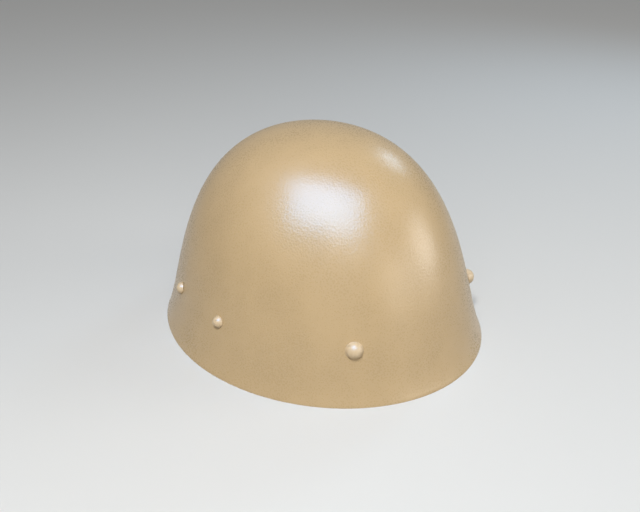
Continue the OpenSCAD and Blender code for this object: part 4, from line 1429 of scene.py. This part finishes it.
# %% [markdown]
# ## The short strap and the keeper
# The short strap joins the swivel to the buckle. It is one strip wrapped round both bars, with a
# slot cut where the tongue's eye sits, and three rows of stitches hold its plies together. The
# keeper is a narrow loop that holds the long strap's loose end down.

# %% Wrap the short strap
SLOT_BACK, SLOT_REACH = 1, 20
SEAMS, SEAM_PITCH, SEAM_STITCHES = (10.4, 12.6, 25.6), 2.7, 5
heel_loop = [(25.8, PLY), (29, 1.2)] + arc(HEEL, heel_eye, 105, -105) + [(29, -1.2), (25.8, -PLY)]
short_path = leg_points(1, heel_loop + [(16, -PLY)] + bar_loop + [(16, PLY)])
short_strap = put(strip("short_strap", short_path, STRAP_W, STRAP_T, closed=True, step=0.7), LOOP)
slot_middle = HEEL - eye_r - SLOT_BACK + SLOT_REACH / 2
cut(short_strap, block(on_leg(slot_middle), SLOT_REACH, SLOT_REACH, EYE_W + 2 * STRAP_GAP))
finish_strap(short_strap, "chinstrap_short")

thread = []
for x in SEAMS:
    for i in range(SEAM_STITCHES):
        for face in (-1, 1):
            at = Vector((x, face * STRAP_T, (i - SEAM_STITCHES // 2) * SEAM_PITCH))
            thread.append(stitch(at, upward, Vector((0, face, 0)), length=2.1, thread=0.33))
sewing("strap_sewing", thread, "chinstrap", on_leg(0))

# %% Form the keeper
KEEPER_X, KEEPER_W, KEEPER_T, KEEPER_BEND = 20, 7, 1.2, 1.3
keep_low = -STRAP_T - STRAP_GAP - KEEPER_T / 2
keep_high = lane_flat + STRAP_T / 2 + STRAP_GAP + KEEPER_T / 2
keep_half = STRAP_W / 2 + STRAP_GAP + KEEPER_T / 2
keeper_path = []
for y, z, start in ((keep_high, 1, 0), (keep_low, 1, 90), (keep_low, -1, 180), (keep_high, -1, 270)):
    inwards = Vector((math.copysign(KEEPER_BEND, y), z * KEEPER_BEND))
    for i in range(6):
        turn = math.radians(start + 90 * i / 5)
        bend = KEEPER_BEND * Vector((math.cos(turn), math.sin(turn)))
        keeper_path.append(Vector((y, z * keep_half)) - inwards + bend)
keeper = strip("keeper_loop", keeper_path, KEEPER_W, KEEPER_T, closed=True, step=0.5)
finish_strap(put(keeper, on_leg(KEEPER_X) @ UPENDED), "strap_keeper")

# %% [markdown]
# ## The buckle
# The frame is one wire bent round four corners. It is drawn as a chain of four points, its corners
# are rounded with a vertex bevel, and the chain becomes a curve with a round bevel. The roller is
# a short tube, and the tongue a pin on a ring that turns on the heel of the frame.

# %% Bend the frame
side_z = STRAP_W / 2 + 2 * STRAP_GAP + WIRE_D / 2
corners = [(0, 0, -side_z), (BUCKLE_L, 0, -side_z), (BUCKLE_L, 0, side_z), (0, 0, side_z)]
start_piece("buckle_wire", corners[0])
chain(corners + corners[:1])
weld()
bevel(WIRE_D, 8)
bpy.ops.object.mode_set(mode="OBJECT")
bpy.ops.object.convert(target="CURVE")
wire = bpy.context.object.data
wire.bevel_depth, wire.bevel_resolution = WIRE_D / 2 * MM, 6
bpy.ops.object.convert(target="MESH")
frame_wire = bpy.context.object
edit(frame_wire)
weld(0.001)
close_mesh()
frame_wire.name = frame_wire.data.name = "buckle_wire"


def finish_steel(piece, node, body="chinstrap", crease=40):
    finish_piece(piece, fitting_steel, [node], body, crease)


finish_steel(put(frame_wire, on_leg(HEEL)), "buckle_frame", crease=60)

# %% Turn the roller and the tongue
roller_half = side_z - WIRE_D - 0.2
SEAM_WAY, SEAM_CUT = math.radians(200), (0.5, 0.22, 40)
tube_outline = ring_outline(bore, ROLLER_D / 2, -roller_half, roller_half, *nick(0.3))
roller = turned("roller_tube", tube_outline, 40)
cut(roller, block(shift(ROLLER_D / 2), *SEAM_CUT))
finish_steel(put(roller, on_leg(TOE) @ turn_by(SEAM_WAY, "Z")), "buckle_roller", "buckle_roller")

rounded = (0.5, 0), (0.15, 0.15), (0, 0.5)
tongue = turned("tongue_ring", ring_outline(bore, eye_r, -EYE_W / 2, EYE_W / 2, *rounded), 40)
pin_r, pin_length = PIN_D / 2, BUCKLE_L / math.cos(pin_rise) + PIN_D
pin_line = [(0, 0, 0.0), (pin_r + 0.5, 0, 0.0), (pin_r + 0.12, 0, 2.2), (pin_r, 0, 5)]
for turn in (QUARTER * i / 6 for i in range(7)):
    pin_line.append((pin_r * math.cos(turn), 0, pin_length + pin_r * math.sin(turn)))
cut(tongue, put(turned("tongue_pin", pin_line, 24), PIN_WAY), "UNION")
finish_steel(put(tongue, on_leg(HEEL)), "buckle_tongue", "buckle_tongue")

# %% [markdown]
# ## Lugs, swivels and pivots
# A lug is a strip of steel plate that follows the wall under its rivet, steps in, and hangs plumb.
# A swivel is a flat stamping with a round eye and a slot that leaves a bar for the strap. The pivot
# is a rivet with a low head on each side.

# %% Bend the lugs
LUG_CORNER, LUG_END = 2.5, LUG_W / 2 - 0.05
mid = LUG_T / 2
lug_line = [lug_seat + LUG_FOOT / 2 * lug_up - mid * lug_out,
            lug_knee - mid * lug_out + Vector((0, mid * 0.4)),
            Vector((tab_x - mid, tab_top + mid * 0.5)),
            Vector((tab_x - mid, PIVOT_Z - LUG_W / 2))]
for name, side in SIDES.items():
    lug = bent_strip("lug_plate", lug_line, LUG_W, LUG_T, (LUG_CORNER, LUG_END), segments=8,
                     edge=0.2, bends=lug_line[1:3])
    finish_steel(put(lug, mirrored(side)), f"{name}_strap_lug", "helmet", crease=30)

# %% Stamp the swivels
SWIVEL_EYE, SWIVEL_CORNER, SHOULDER_R, PIVOT_HOLE_R = 6.4, 1.6, 2.2, 2.06
EYE_FROM, EYE_SWEEP, EYE_STEPS = 97, 166, 24
far = BAR_REACH + BAR_W / 2
slot_l, slot_w = bar_hole_r + STRAP_T - BAR_W / 2 + STRAP_GAP, STRAP_W + 2 * STRAP_GAP
plate_half = slot_w / 2 + CHEEK_W
shoulder_x = far - slot_l - CHEEK_W
turns = [math.radians(EYE_FROM + EYE_SWEEP * i / EYE_STEPS) for i in range(EYE_STEPS + 1)]
outline = [(SWIVEL_EYE * math.cos(t), SWIVEL_EYE * math.sin(t), 0) for t in turns]
outline += [(shoulder_x, -plate_half, 0), (far, -plate_half, 0), (far, plate_half, 0),
            (shoulder_x, plate_half, 0)]
for name, side in SIDES.items():
    swivel = start_piece("swivel_plate", outline[0])
    chain(outline + outline[:1])
    weld()
    select(swivel, lambda p: p.x > shoulder_x + 1 and abs(p.y) > plate_half - NEAR)
    bevel(SWIVEL_CORNER, 5)
    select(swivel, lambda p: abs(p.x - shoulder_x) < NEAR)
    bevel(SHOULDER_R, 5)
    bpy.ops.mesh.select_all(action="SELECT")
    bpy.ops.mesh.edge_face_add()
    bpy.ops.object.mode_set(mode="OBJECT")
    thicken(swivel, SWIVEL_T)
    edit(swivel)
    close_mesh()
    window = block(shift(far - BAR_W - slot_l / 2), slot_l, slot_w, 10)
    apply(window, "BEVEL", width=0.8 * MM, segments=4, limit_method="NONE")
    cut(swivel, window)
    drill(swivel, [Matrix.Identity(4)], PIVOT_HOLE_R, depth=10, sides=32)
    soften(swivel, 0.28)
    put(swivel, LOOP @ mirrored(side) @ shift(loop_x) @ UPENDED)
    finish_steel(swivel, f"{name}_strap_swivel", crease=30)

# %% Turn the pivots and the strap's rivet
PIVOT_D, PIVOT_HEAD, PIVOT_RISE = 4, 7.4, 1.5
pivot_grip = LUG_T + SWIVEL_T + 2 * SWIVEL_GAP
cap = dome(PIVOT_HEAD, PIVOT_RISE, steps=8)
stem = [(PIVOT_D / 2, 0, 0), (PIVOT_D / 2, 0, -pivot_grip)]
for name, side in SIDES.items():
    pivot = turned(f"{name}_pivot", cap[::-1] + stem + sunk(cap, pivot_grip), 36)
    put(pivot, mirrored(side) @ shift(tab_x, 0, PIVOT_Z) @ ACROSS)
    finish_steel(pivot, f"{name}_pivot_rivet", "helmet")

end_rivet = tube_rivet("end_tube_rivet", 2 * STRAP_T)
put(end_rivet, on_leg(END_RIVET, STRAP_T, side=-1) @ turn_by(-QUARTER, "X"))
finish_steel(end_rivet, "strap_rivet")
